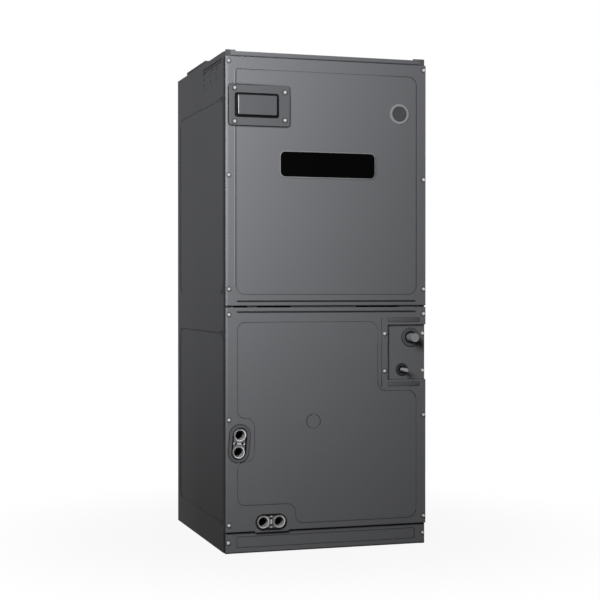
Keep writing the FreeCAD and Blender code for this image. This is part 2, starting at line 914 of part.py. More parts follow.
def screw(name, x, seat, z, shank):
    washer = rod(f"{name}_washer", s.screw_washer_radius, s.screw_washer_height, x, seat, z, "-Y")
    hexagon = doc.addObject("Part::Prism", f"{name}_hex")
    hexagon.Polygon = 6
    bind(hexagon, "Circumradius", s.screw_hex_radius)
    bind(hexagon, "Height", s.screw_hex_height)
    place(hexagon, x, seat - s.screw_washer_height, z, z_along["-Y"])
    stem = rod(f"{name}_stem", s.screw_shank_radius, shank, x, seat, z, "Y")
    return join(name, [washer, hexagon, stem])


def screws(label, seats):
    made = []
    for number, (x, seat, z, shank) in enumerate(seats, start=1):
        made.append(screw(f"{label}_{number}", x, seat, z, shank))
    return node(group(label, made), label)


def screw_rows(low, high):
    # Three screws down each side of a door.
    rows = (low, (low + high) / 2, high)
    return [(side * screw_x, z) for side in (-1, 1) for z in rows]


upper_screws = screw_rows(upper_door_low + s.upper_screw_rise, upper_door_high - s.upper_screw_drop)
lower_screws = screw_rows(lower_door_low + s.lower_screw_rise, lower_door_high - s.lower_screw_drop)
door_shank = s.door_proud - s.fit_gap
door_inner = face_y + s.skin

# Breaker cover on the upper door
breaker_left = -half + s.breaker_side
breaker_right = breaker_left + s.breaker_width
breaker_top = upper_door_high - s.breaker_top_drop
breaker_low = breaker_top - s.breaker_height
window_left = breaker_left + s.breaker_window_side - s.breaker_side
window_right = window_left + s.breaker_window_width
window_top = breaker_top - s.breaker_window_drop
window_low = window_top - s.breaker_window_height
breaker_screws = [
    (x, z)
    for x, end in (
        (breaker_left + s.breaker_screw_side, s.breaker_screw_end),
        (breaker_right - s.breaker_screw_side, s.breaker_far_screw_end),
    )
    for z in (breaker_low + end, breaker_top - end)
]
sight_x = half - s.sight_side
sight_z = upper_door_high - s.sight_drop
badge_z = upper_door_high - s.badge_drop


def on_door_rim(edge, low, high):
    # True for the outer front edges of a door.
    ends = [vertex.Point for vertex in edge.Vertexes]
    if any(abs(end.y - face_y.value) > 1e-6 for end in ends):
        return False
    for side in (-half.value, half.value):
        if all(abs(end.x - side) < 1e-6 for end in ends):
            return True
    return any(all(abs(end.z - level.value) < 1e-6 for end in ends) for level in (low, high))


def lies_at(edge, level):
    # True for an edge that lies wholly in one plane across the cabinet's depth.
    return all(abs(vertex.Point.y - level.value) < 1e-6 for vertex in edge.Vertexes)


def press_field(door, field):
    # A pressed field: the sheet goes in by its depth and keeps its thickness.
    pad(door, "XZ", door_inner, door_inner + s.field_depth, field)
    pocket(door, "XZ", face_y, face_y + s.field_depth, inset_corners(field, s.skin))


def breaker_outline(reach):
    # The rounded outline of the breaker window, moved out all round by reach.
    across = (window_left - reach, window_right + reach)
    return rectangle(across, (window_low - reach, window_top + reach), s.breaker_window_radius + reach)


def upper_door():
    low, high = upper_door_low, upper_door_high
    door = body("upper_door")
    pad(door, "XZ", face_y, door_inner, rectangle((-half, half), (low, high)))
    wrap = face_y + s.wrap_depth
    for side_x in ((-half, -wall_x), (wall_x, half)):
        pad(door, "XZ", door_inner, wrap, rectangle(side_x, (low, high)))
    for edge_z in ((low, low + s.skin), (high - s.skin, high)):
        pad(door, "XZ", door_inner, frame_y, rectangle((-wall_x, wall_x), edge_z))
    round_edges(door, s.bend_radius, lambda edge: on_door_rim(edge, low, high))
    left, right = -half + s.door_field_side, half - s.door_field_side
    bottom, top = low + s.upper_field_low_margin, high - s.upper_field_top_margin
    press_field(door, [
        (left, bottom, s.upper_field_radius),
        (right, bottom, s.upper_field_radius),
        (right, top, s.upper_field_radius),
        (left, top, s.upper_field_sharp_radius),
    ])
    bead_x = half - s.door_bead_side
    bead_z = low + s.door_bead_margin
    bead = slot((-bead_x, bead_z), (bead_x, bead_z), s.door_bead_height / 2)
    pocket(door, "XZ", face_y, face_y + s.press_depth, bead)
    gap = s.fit_gap
    pocket(door, "XZ", face_y, frame_y, breaker_outline(s.breaker_tray_wall + gap))
    holes = [circle(x, z, hole_radius) for x, z in upper_screws + breaker_screws]
    holes.append(circle(sight_x, sight_z, s.sight_neck + gap))
    pocket(door, "XZ", face_y, frame_y, *holes)
    node(door, "upper_door")


upper_door()


def upper_door_trim():
    field_y = face_y + s.field_depth
    plate_y = face_y - s.breaker_thickness
    plate = body("breaker_plate")
    outer = rectangle((breaker_left, breaker_right), (breaker_low, breaker_top), s.breaker_radius)
    pad(plate, "XZ", face_y, plate_y, outer)
    round_edges(plate, s.breaker_edge, lambda edge: lies_at(edge, plate_y))
    holes = [circle(x, z, hole_radius) for x, z in breaker_screws]
    holes.append(breaker_outline(0 * half))
    pocket(plate, "XZ", plate_y, face_y, *holes)
    node(plate, "breaker_plate")
    blank = body("breaker_blank")
    wall = s.breaker_tray_wall
    tray_back = face_y + s.breaker_tray_depth
    floor_y = tray_back - wall
    pad(blank, "XZ", tray_back, face_y, breaker_outline(wall))
    pocket(blank, "XZ", face_y, floor_y, breaker_outline(0 * half))
    blank_y = floor_y - s.breaker_blank_rise
    blank_x = (window_left + s.breaker_blank_side, window_right - s.breaker_blank_side)
    blank_z = (window_low + s.breaker_blank_end, window_top - s.breaker_blank_end)
    pad(blank, "XZ", floor_y, blank_y, rectangle(blank_x, blank_z, s.breaker_blank_radius))
    round_edges(blank, s.breaker_blank_edge, lambda edge: lies_at(edge, blank_y))
    node(blank, "breaker_blank")
    ring_front = s.field_depth + s.sight_proud
    ring_back = -(s.sight_neck / 4)
    lens_seat = s.sight_lens_radius + s.fit_gap
    ring = lathe("sight_ring", [
        (ring_back, lens_seat - s.skin * 2),
        (ring_back, s.sight_neck),
        (0, s.sight_neck),
        (0, s.sight_radius),
        (ring_front, s.sight_radius),
        (ring_front, lens_seat),
        (0, lens_seat),
        (0, lens_seat - s.skin * 2),
    ], sight_x, field_y, sight_z, "-Y")
    node(ring, "sight_ring")
    lens = lathe("sight_lens", [
        (0, 0),
        (s.field_depth, 0),
        (s.field_depth, s.sight_lens_radius),
        (0, s.sight_lens_radius),
    ], sight_x, field_y, sight_z, "-Y")
    node(lens, "sight_lens")
    badge = body("badge_plate")
    badge_x = s.badge_width / 2
    badge_y = field_y - s.badge_thickness
    shape = rectangle((-badge_x, badge_x), (badge_z - s.badge_height / 2, badge_z + s.badge_height / 2),
                      s.badge_radius)
    pad(badge, "XZ", field_y, badge_y, shape)
    pocket(badge, "XZ", badge_y, badge_y + s.press_depth, inset_corners(shape, s.badge_rim))
    node(badge, "badge_plate")
    seats = [(x, face_y, z, door_shank) for x, z in upper_screws]
    seats += [(x, plate_y, z, s.breaker_thickness + s.skin) for x, z in breaker_screws]
    screws("upper_door_screws", seats)


upper_door_trim()


def upper_door_lining():
    liner_y = door_inner + s.field_depth
    side = half - s.door_liner_side
    liner_z = (split + s.mid_rail_height, height - s.deck_drop)
    liner = block("upper_liner", (-side, side), (liner_y, liner_y + s.liner), liner_z)
    node(liner, "upper_door_liner")
    seal_y = (door_inner, frame_y)
    outer_x = post_inner + s.seal_width
    low = upper_door_low + s.seal_margin
    high = upper_door_high - s.seal_margin
    outer = block("upper_seal_outer", (-outer_x, outer_x), seal_y, (low - s.seal_width, high + s.seal_width))
    inner = block("upper_seal_inner", (-post_inner, post_inner), (face_y, frame_y + s.skin), (low, high))
    node(cut("upper_door_seal", outer, inner), "upper_door_seal")


upper_door_lining()

# Lower door, with openings for the drain ports and a notch for the tube plate
notch_x = half - s.notch_width
notch_high = split - s.notch_drop
notch_low = notch_high - s.notch_height
main_port_x = -half + s.main_port_side
main_ports = [(main_port_x, s.main_port_height), (main_port_x + s.main_port_pitch, s.main_port_height)]
side_port_x = -half + s.side_port_side
side_ports = [
    (side_port_x - s.side_port_lean / 2, s.side_port_height),
    (side_port_x + s.side_port_lean / 2, s.side_port_height + s.side_port_pitch),
]
port_hole = s.port_radius + s.port_clearance
notch_screws = [
    (notch_x - s.notch_screw_gap, z)
    for z in (notch_low + s.notch_screw_end, notch_high - s.notch_screw_end)
]


def lower_door():
    low, high = lower_door_low, lower_door_high
    door = body("lower_door")
    notch = (notch_low, notch_high)
    pad(door, "XZ", face_y, door_inner, [
        (-half, low), (half, low), (half, notch[0]), (notch_x, notch[0]),
        (notch_x, notch[1]), (half, notch[1]), (half, high), (-half, high),
    ])
    wrap = face_y + s.wrap_depth
    pad(door, "XZ", door_inner, wrap, rectangle((-half, -wall_x), (low, high)))
    for edge_z in ((low, notch[0]), (notch[1], high)):
        pad(door, "XZ", door_inner, wrap, rectangle((wall_x, half), edge_z))
    for edge_z in ((low, low + s.skin), (high - s.skin, high)):
        pad(door, "XZ", door_inner, frame_y, rectangle((-wall_x, wall_x), edge_z))
    rim_y = frame_y - s.skin - s.fit_gap
    for edge_z in ((notch[0] - s.skin, notch[0]), (notch[1], notch[1] + s.skin)):
        pad(door, "XZ", door_inner, rim_y, rectangle((notch_x - s.skin, wall_x), edge_z))
    pad(door, "XZ", door_inner, rim_y, rectangle((notch_x - s.skin, notch_x), notch))
    round_edges(door, s.bend_radius, lambda edge: on_door_rim(edge, low, high))
    left, right = -half + s.lower_field_side, half - s.door_field_side
    bottom, top = low + s.lower_field_bottom, high - s.lower_field_top
    bend, wide = s.lower_field_radius, s.lower_field_wide_radius
    ledge = s.main_port_height + s.field_main_above
    step_x = main_ports[1][0] + s.field_main_gap
    bulge_x = side_port_x + s.field_port_gap
    bulge_low = side_ports[0][1] - s.field_port_below
    bulge_high = side_ports[1][1] + s.field_port_above
    inner_x = notch_x - s.field_notch_gap
    shelf = notch_low - s.field_notch_below
    press_field(door, [
        (left, ledge, bend), (step_x, ledge, bend), (step_x, bottom, bend), (right, bottom, wide),
        (right, shelf, wide), (inner_x, shelf, bend), (inner_x, top, wide), (left, top, bend),
        (left, bulge_high, bend), (bulge_x, bulge_high, bend),
        (bulge_x, bulge_low, bend), (left, bulge_low, bend),
    ])
    bead_x = half - s.door_bead_side
    bead_z = high - s.door_bead_margin
    strip_x = (notch_x, half - s.notch_strip_side)
    strip_low = notch_low - s.notch_strip_margin
    strip_high = notch_high + s.notch_strip_margin
    groove_x = notch_x - s.notch_groove_gap
    pocket(door, "XZ", face_y, face_y + s.press_depth,
           slot((-bead_x, bead_z), (bead_x, bead_z), s.door_bead_height / 2),
           rectangle(strip_x, (strip_low - s.notch_strip_height, strip_low)),
           rectangle(strip_x, (strip_high, strip_high + s.notch_strip_height)),
           rectangle((groove_x - s.notch_groove_width, groove_x),
                     (strip_low - s.notch_strip_height, strip_high + s.notch_strip_height)))
    knockout = (-s.door_knockout_left, s.door_knockout_height)
    field_y = face_y + s.field_depth
    pocket(door, "XZ", field_y, field_y + s.press_depth,
           circle(*knockout, s.door_knockout_radius),
           circle(*knockout, s.door_knockout_radius - s.door_knockout_width))
    holes = [circle(x, z, hole_radius) for x, z in lower_screws + notch_screws]
    holes.append(slot(main_ports[0], main_ports[1], port_hole))
    holes.append(slot(side_ports[0], side_ports[1], port_hole))
    pocket(door, "XZ", face_y, frame_y, *holes)
    node(door, "lower_door")


lower_door()


def lower_door_trim():
    gaskets = []
    for name, ports, band in (
        ("main_port_gasket", main_ports, s.main_gasket_band),
        ("side_port_gasket", side_ports, s.side_gasket_band),
    ):
        gasket = body(name)
        front = face_y - s.port_gasket_thickness
        pad(gasket, "XZ", face_y, front,
            slot(ports[0], ports[1], port_hole + band), slot(ports[0], ports[1], port_hole))
        gaskets.append(gasket)
    node(group("port_gaskets", gaskets), "port_gaskets")
    seats = [(x, face_y, z, door_shank) for x, z in lower_screws]
    seats += [(x, face_y, z, s.door_proud - s.skin - s.fit_gap) for x, z in notch_screws]
    screws("lower_door_screws", seats)
    liner_y = door_inner + s.field_depth
    left = side_port_x + port_hole + s.side_gasket_band
    liner_z = (s.liner_base, lower_door_high - s.mid_rail_height)
    right = notch_x - s.tube_plate_side_lap - s.liner
    liner = block("lower_liner", (left, right), (liner_y, liner_y + s.liner), liner_z)
    node(liner, "lower_door_liner")
    seal_y = (door_inner, frame_y)
    outer_x = post_inner + s.seal_width
    seal_top = lower_door_high - s.seal_margin
    seal_low = lower_door_low + s.seal_margin
    left_seal = block("lower_seal_left", (-outer_x, -post_inner), seal_y, (seal_low, seal_top))
    top_seal = block("lower_seal_top", (-post_inner, outer_x), seal_y, (seal_top - s.seal_width, seal_top))
    right_z = (seal_low, notch_low - s.tube_plate_lap - s.seal_width)
    right_seal = block("lower_seal_right", (post_inner, outer_x), seal_y, right_z)
    bent_seal = join("lower_seal_bent", [left_seal, top_seal])
    node(group("lower_door_seal", [bent_seal, right_seal]), "lower_door_seal")


lower_door_trim()


def filter_door():
    front = face_y + s.filter_door_recess
    door = body("filter_door")
    low, high = s.filter_door_floor_gap, s.sill_line - s.filter_door_gap
    pad(door, "XZ", front, frame_y, rectangle((-post_x, post_x), (low, high)))
    rim = rectangle((-post_x + s.skin, post_x - s.skin), (low + s.skin, high - s.skin))
    pocket(door, "XZ", frame_y, front + s.skin, rim)
    field_x = post_x - s.filter_field_side
    field = rectangle((-field_x, field_x), (low + s.filter_field_low, high - s.filter_field_high),
                      s.filter_field_radius)
    pocket(door, "XZ", front, front + s.press_depth, field)
    seats = [(side * screw_x, (low + high) / 2 + s.skin * 2) for side in (-1, 1)]
    pocket(door, "XZ", front, frame_y, *[circle(x, z, hole_radius) for x, z in seats])
    node(door, "filter_door")
    shank = s.door_proud - s.filter_door_recess - s.fit_gap
    screws("filter_door_screws", [(x, front, z, shank) for x, z in seats])


filter_door()

# Drain pans, their ports and the threaded inserts in them
pan_x = liner_inner - s.pan_side_gap
pan_front = face_y + s.pan_front
pan_back = back_y - s.pan_back
pan_low = rail_top
pan_high = pan_low + s.pan_height
pan_floor = pan_low + s.pan_wall
port_front = face_y - s.port_proud
spout_front = port_front + s.insert_flange


def port_spouts(pan, ports, root):
    # Two spouts joined by a web, each with a seat for its insert and a drain hole behind it.
    for x, z in ports:
        pad(pan, "XZ", root, spout_front, circle(x, z, s.port_radius))
    bridge = slot(ports[0], ports[1], s.port_web / 2)
    pad(pan, "XZ", root, spout_front + s.port_web_recess, bridge)
    for x, z in ports:
        seat = s.insert_sleeve_radius + s.screw_hole_gap
        pocket(pan, "XZ", spout_front, spout_front + s.insert_sleeve, circle(x, z, seat))
        pocket(pan, "XZ", spout_front + s.insert_sleeve, root + s.pan_wall, circle(x, z, s.drain_bore_radius))


def drain_pan():
    pan = body("drain_pan")
    pad(pan, "XY", pan_low, pan_high, rectangle((-pan_x, pan_x), (pan_front, pan_back)))
    wall = s.pan_wall
    well_x = pan_x - s.pan_trough
    well = rectangle((-well_x, well_x), (pan_front + s.pan_end_trough, pan_back - s.pan_end_trough))
    trough = rectangle((-pan_x + wall, pan_x - wall), (pan_front + wall, pan_back - wall))
    opening = rectangle((-well_x + wall, well_x - wall),
                        (pan_front + s.pan_end_trough + wall, pan_back - s.pan_end_trough - wall))
    pocket(pan, "XY", pan_high, pan_floor, trough, well)
    pocket(pan, "XY", pan_high, pan_low, opening)
    port_spouts(pan, main_ports, pan_front)
    node(pan, "drain_pan")


drain_pan()


def side_drain_pan():
    pan = body("side_drain_pan")
    low = pan_high
    high = low + s.side_pan_height
    inner_x = -pan_x + s.side_pan_depth
    front = face_y + s.coil_front
    back = back_y - s.coil_back
    pad(pan, "YZ", -pan_x, inner_x, rectangle((front, back), (low, high)))
    wall = s.pan_wall
    hollow = rectangle((front + wall, back - wall), (low + wall, high - wall))
    pocket(pan, "YZ", inner_x, -pan_x + wall, hollow)
    port_spouts(pan, side_ports, front)
    node(pan, "side_drain_pan")


side_drain_pan()


def drain_inserts():
    made = []
    for number, (x, z) in enumerate(main_ports + side_ports, start=1):
        insert = lathe(f"drain_insert_{number}", [
            (-s.insert_sleeve, s.port_bore_radius),
            (s.insert_flange, s.port_bore_radius),
            (s.insert_flange, s.port_radius, s.insert_edge),
            (0, s.port_radius),
            (0, s.insert_sleeve_radius),
            (-s.insert_sleeve, s.insert_sleeve_radius),
        ], x, spout_front, z, "-Y")
        made.append(insert)
    # A light web fills the space between the two rims of each pair.
    for name, ports, across in (
        ("main_insert_web", main_ports, (0, s.insert_web_hole_side)),
        ("side_insert_web", side_ports, (s.insert_web_hole_side, 0)),
    ):
        web = body(name)
        middle = [(ports[0][axis] + ports[1][axis]) / 2 for axis in (0, 1)]
        front = spout_front - s.insert_web_proud
        back = spout_front + s.port_web_recess
        pad(web, "XZ", back, front, slot(ports[0], ports[1], s.insert_web_radius))
        holes = [circle(middle[0] + side * across[0], middle[1] + side * across[1], s.insert_web_hole)
                 for side in (-1, 1)]
        holes += [circle(x, z, s.port_radius + s.insert_web_gap) for x, z in ports]
        pocket(web, "XZ", front, back, *holes)
        made.append(web)
    node(group("drain_inserts", made), "drain_inserts")


drain_inserts()

# Coil: two leaning slabs that meet at the top, standing in the drain pan
coil_front = face_y + s.coil_front
coil_back = back_y - s.coil_back
front_sheet_y = coil_front - s.tube_sheet
rear_sheet_y = coil_back + s.tube_sheet
foot_x = pan_x - s.coil_foot_gap
coil_rise = split - s.coil_below_split
lean = arctan((foot_x - s.coil_thickness - s.coil_apex_gap / 2) / coil_rise)
lean_cos = cosine(lean)
lean_sin = sine(lean)
slab_length = (foot_x - s.coil_thickness * lean_cos - s.coil_apex_gap / 2) / lean_sin
foot_z = pan_floor + s.fit_gap + s.coil_thickness * lean_sin
coil_top = foot_z + slab_length * lean_cos
slab_half = s.coil_thickness / 2


def leaning_block(name, side, across, y):
    # A box laid along a slab; across is its span inward from the slab's outer face.
    box = doc.addObject("Part::Box", name)
    bind(box, "Length", across[1] - across[0])
    bind(box, "Width", y[1] - y[0])
    bind(box, "Height", slab_length)
    start = across[1] if side > 0 else across[0]
    tilt = FreeCAD.Rotation(y_axis * -side, lean.value)
    place(box, side * (foot_x - start * lean_cos), y[0], foot_z - start * lean_sin, tilt)
    box.setExpression("Placement.Rotation.Angle", f"{lean.text} * 1 deg")
    return box


def slab_centre(level):
    # Distance of a slab's middle from the cabinet's middle plane, at a height.
    along = (level - foot_z + slab_half * lean_sin) / lean_cos
    return foot_x - slab_half * lean_cos - along * lean_sin


def return_bend(name, x, y, z, turn):
    bend = doc.addObject("Part::Torus", name)
    bind(bend, "Radius1", s.bend_radius_coil)
    bind(bend, "Radius2", s.bend_tube_radius)
    bend.Angle3 = 180
    return place(bend, x, y, z, turn)


def coil():
    slabs = []
    sheets = []
    bends = []
    rear_turn = FreeCAD.Rotation(y_axis, -90)
    front_turn = FreeCAD.Rotation(x_axis + z_axis, 180)
    bend_room = slab_length.value - 2 * s.bend_end_margin.value
    bend_count = int(bend_room / s.bend_pitch.value) + 1
    for name, side in (("left", -1), ("right", 1)):
        slabs.append(leaning_block(f"{name}_slab", side, (0, s.coil_thickness), (coil_front, coil_back)))
        across = (-s.tube_sheet_margin, s.coil_thickness)
        sheets.append(leaning_block(f"{name}_front_sheet", side, across, (front_sheet_y, coil_front)))
        sheets.append(leaning_block(f"{name}_rear_sheet", side, across, (coil_back, rear_sheet_y)))
        for number in range(bend_count):
            level = foot_z + (s.bend_end_margin + s.bend_pitch * number) * lean_cos
            x = side * slab_centre(level)
            bends.append(return_bend(f"{name}_rear_bend_{number}", x, rear_sheet_y, level, rear_turn))
            if number >= s.front_bend_first.value:
                bends.append(return_bend(f"{name}_front_bend_{number}", x, front_sheet_y, level, front_turn))
    node(group("coil_slabs", slabs), "coil_slabs")
    node(group("tube_sheets", sheets), "tube_sheets")
    node(group("return_bends", bends), "return_bends")


coil()


def coil_air_seals():
    # Triangles close the ends between the slabs, and a cap closes the top.
    seals = []
    low, high = pan_high, coil_top - s.cap_side
    inner = slab_half / lean_cos + s.fit_gap * 2
    low_x = slab_centre(low) - inner
    high_x = slab_centre(high) - inner
    shape = [(-low_x, low), (low_x, low), (high_x, high), (-high_x, high)]
    front = pan_front + s.pan_end_trough
    back = pan_back - s.pan_end_trough
    for name, y in (("front_seal", (front, front + s.skin)), ("rear_seal", (back, back - s.skin))):
        plate = body(name)
        pad(plate, "XZ", y[0], y[1], shape)
        seals.append(plate)
    cap_low = coil_top + s.fit_gap
    cap_z = (cap_low, cap_low + s.skin)
    seals.append(block("coil_cap", (-s.cap_side, s.cap_side), (coil_front, coil_back), cap_z))
    node(group("coil_air_seals", seals), "coil_air_seals")


coil_air_seals()

# Refrigerant lines in the space in front of the coil
suction_x = half - s.suction_side
liquid_x = half - s.liquid_side
suction_z = notch_high - s.suction_drop
liquid_z = notch_low + s.liquid_rise
plate_front = frame_y - s.skin
stub_front = face_y - s.stub_reach
stub_back = plate_front - s.grommet_lip - s.stub_clearance
header_y = face_y + s.header_setback
valve_x = liquid_x - s.valve_gap
valve_low = liquid_z - s.valve_height / 2
valve_high = liquid_z + s.valve_height / 2
distributor_low = valve_low - s.distributor_length


def suction_side():
    line = pipe("suction_tube", s.suction_line_radius, [
        (suction_x, stub_front, suction_z),
        (suction_x, header_y, suction_z),
        (suction_x, header_y, s.header_low),
    ], s.pipe_bend)
    stub_length = stub_back - stub_front
    stub = rod("suction_stub", s.suction_radius, stub_length, suction_x, stub_front, suction_z, "Y")
    node(join("suction_line", [line, stub]), "suction_line")
    feeders = []
    start = suction_x - s.suction_line_radius - s.fit_gap
    for number in range(4):
        level = s.feeder_low + s.feeder_step * number
        x = slab_centre(level) if number % 2 == 0 else -slab_centre(level)
        feeders.append(pipe(f"feeder_{number}", s.feeder_radius, [
            (start, header_y, level),
            (x, header_y, level),
            (x, front_sheet_y, level),
        ], s.feeder_bend))
    node(group("suction_feeders", feeders), "suction_feeders")


suction_side()


def liquid_side():
    valve_right = valve_x + s.valve_width / 2
    line = pipe("liquid_tube", s.liquid_line_radius, [
        (liquid_x, stub_front, liquid_z),
        (liquid_x, header_y, liquid_z),
        (valve_right, header_y, liquid_z),
    ], s.liquid_bend)
    stub_length = stub_back - stub_front
    stub = rod("liquid_stub", s.liquid_radius, stub_length, liquid_x, stub_front, liquid_z, "Y")
    node(join("liquid_line", [line, stub]), "liquid_line")
    depth = (header_y - s.valve_depth / 2, header_y + s.valve_depth / 2)
    valve = block("valve_block", (valve_x - s.valve_width / 2, valve_right), depth, (valve_low, valve_high))
    neck_height = s.valve_dome_height / 2
    neck = rod("valve_neck", s.distributor_top_radius, neck_height, valve_x, header_y, valve_high, "Z")
    dome_z = valve_high + neck_height
    dome = rod("valve_dome", s.valve_dome_radius, s.valve_dome_height, valve_x, header_y, dome_z, "Z")
    node(join("expansion_valve", [valve, neck, dome]), "expansion_valve")
    cone = doc.addObject("Part::Cone", "distributor")
    bind(cone, "Radius1", s.distributor_low_radius)
    bind(cone, "Radius2", s.distributor_top_radius)
    bind(cone, "Height", s.distributor_length)
    node(place(cone, valve_x, header_y, distributor_low), "distributor")
    tubes = []
    for number in range(4):
        side = 1 if number < 2 else -1
        x = valve_x + s.capillary_spread * (1 if number % 2 == 0 else -1)
        y = header_y + s.capillary_spread * side
        level = s.capillary_low + s.capillary_step * number
        route = [(x, y, distributor_low), (x, y, level)]
        end_x = x if side > 0 else -slab_centre(level)
        if side < 0:
            route.append((end_x, y, level))
        route.append((end_x, front_sheet_y, level))
        tubes.append(pipe(f"distributor_tube_{number}", s.capillary_radius, route, s.capillary_bend))
    node(group("distributor_tubes", tubes), "distributor_tubes")


liquid_side()

# Tube plate behind the door's notch, with a grommet round each stub
plate_screws = [
    (screw_x, z)
    for z in (notch_low + s.notch_screw_end, notch_high - s.notch_screw_end)
]
grommets = (
    ("suction_grommet", suction_x, suction_z, s.suction_line_radius,
     s.suction_grommet_radius, s.suction_grommet_hollow),
    ("liquid_grommet", liquid_x, liquid_z, s.liquid_line_radius,
     s.liquid_grommet_radius, s.liquid_grommet_hollow),
)


def tube_plate():
    plate = body("tube_plate")
    plate_z = (notch_low - s.tube_plate_lap, notch_high + s.tube_plate_lap)
    pad(plate, "XZ", frame_y, plate_front, rectangle((notch_x - s.tube_plate_side_lap, post_x), plate_z))
    holes = [circle(x, z, hole_radius) for x, z in plate_screws]
    for label, x, z, tube_radius, radius, hollow in grommets:
        seat = hollow + s.grommet_web
        holes.append(circle(x, z, seat + s.fit_gap))
        inner = tube_radius + s.fit_gap
        grommet = lathe(label, [
            (-s.skin, inner),
            (-s.skin, seat),
            (0, seat),
            (0, radius),
            (s.grommet_lip, radius, s.grommet_edge),
            (s.grommet_lip, hollow, s.grommet_edge),
            (0, hollow),
            (0, inner),
        ], x, plate_front, z, "-Y")
        node(grommet, label)
    pocket(plate, "XZ", plate_front, frame_y, *holes)
    node(plate, "tube_plate")
    screws("tube_plate_screws", [(x, plate_front, z, s.skin - s.fit_gap) for x, z in plate_screws])


tube_plate()

# Blower: a scroll hung under a deck, its wheel turned by a motor in the left inlet
deck_low = height - s.deck_drop
deck_top = deck_low + s.skin
scroll_offset = s.scroll_step / 2
scroll_x = s.scroll_half_width
side_outer = scroll_x + s.skin
last_radius = s.scroll_first_radius + s.scroll_step * 2
rear_wall_y = liner_back - s.liner - s.blower_back_gap
blower_y = rear_wall_y - last_radius - scroll_offset
blower_z = deck_low - s.blower_drop
first_y = blower_y - scroll_offset
last_y = blower_y + scroll_offset
last_z = blower_z + scroll_offset
quarter_turn = z_along["X"]
scroll_arcs = (
    ("top", s.scroll_first_radius, first_y, blower_z - scroll_offset,
     FreeCAD.Rotation(x_axis, -180).multiply(quarter_turn)),
    ("front", s.scroll_first_radius + s.scroll_step, last_y, blower_z - scroll_offset,
     FreeCAD.Rotation(x_axis, -90).multiply(quarter_turn)),
    ("bottom", last_radius, last_y, last_z, quarter_turn),
)


def quarter(name, radius, x, y, z, turn):
    # A quarter of a disc, between two planes across the cabinet.
    sector = doc.addObject("Part::Cylinder", name)
    bind(sector, "Radius", radius)
    bind(sector, "Height", x[1] - x[0])
    sector.Angle = 90
    return place(sector, x[0], y, z, turn)


def blower_deck():
    deck_y = (face_y + s.deck_front, liner_back)
    plate = block("deck_plate", (-liner_outer, liner_outer), deck_y, (deck_low, deck_top))
    flange_z = (deck_low - s.deck_flange, deck_low)
    left = block("deck_left_flange", (-liner_outer, -liner_outer + s.skin), deck_y, flange_z)
    right = block("deck_right_flange", (liner_outer - s.skin, liner_outer), deck_y, flange_z)
    outlet_y = (first_y, rear_wall_y - s.skin)
    outlet = block("deck_outlet", (-scroll_x, scroll_x), outlet_y, (deck_low - s.skin, deck_top + s.skin))
    node(cut("blower_deck", join("deck_bent", [plate, left, right]), outlet), "blower_deck")


blower_deck()


def blower_scroll():
    across = (-scroll_x, scroll_x)
    walls = []
    for name, radius, y, z, turn in scroll_arcs:
        outer = quarter(f"{name}_arc", radius, across, y, z, turn)
        inner = quarter(f"{name}_hollow", radius - s.skin, across, y, z, turn)
        walls.append(cut(f"{name}_wrap", outer, inner))
    cutoff_z = blower_z - scroll_offset + s.scroll_first_radius - s.skin
    walls.append(block("cutoff_wall", across, (first_y - s.skin, first_y), (cutoff_z, deck_low)))
    walls.append(block("outlet_wall", across, (rear_wall_y - s.skin, rear_wall_y), (last_z, deck_low)))
    node(join("scroll_wrap", walls), "scroll_wrap")
    sides = []
    for name, side in (("left", -1), ("right", 1)):
        x = (scroll_x, side_outer) if side > 0 else (-side_outer, -scroll_x)
        reach = s.scroll_flange
        pieces = [
            quarter(f"{name}_{arc}_side", radius + reach, x, y, z, turn)
            for arc, radius, y, z, turn in scroll_arcs
        ]
        outlet_y = (first_y - reach, rear_wall_y + reach)
        pieces.append(block(f"{name}_outlet_side", x, outlet_y, (last_z, deck_low)))
        pieces.append(block(f"{name}_middle_side", x, (first_y, last_y), (blower_z - scroll_offset, last_z)))
        lip_x = scroll_x - s.inlet_lip if side > 0 else -scroll_x
        lip_radius = s.inlet_radius + s.skin
        pieces.append(rod(f"{name}_inlet_lip", lip_radius, s.inlet_lip, lip_x, blower_y, blower_z, "X"))
        hole = rod(f"{name}_inlet", s.inlet_radius, side_outer * 2, -side_outer, blower_y, blower_z, "X")
        sides.append(cut(f"{name}_scroll_side", join(f"{name}_side_plate", pieces), hole))
    node(group("scroll_sides", sides), "scroll_sides")


blower_scroll()


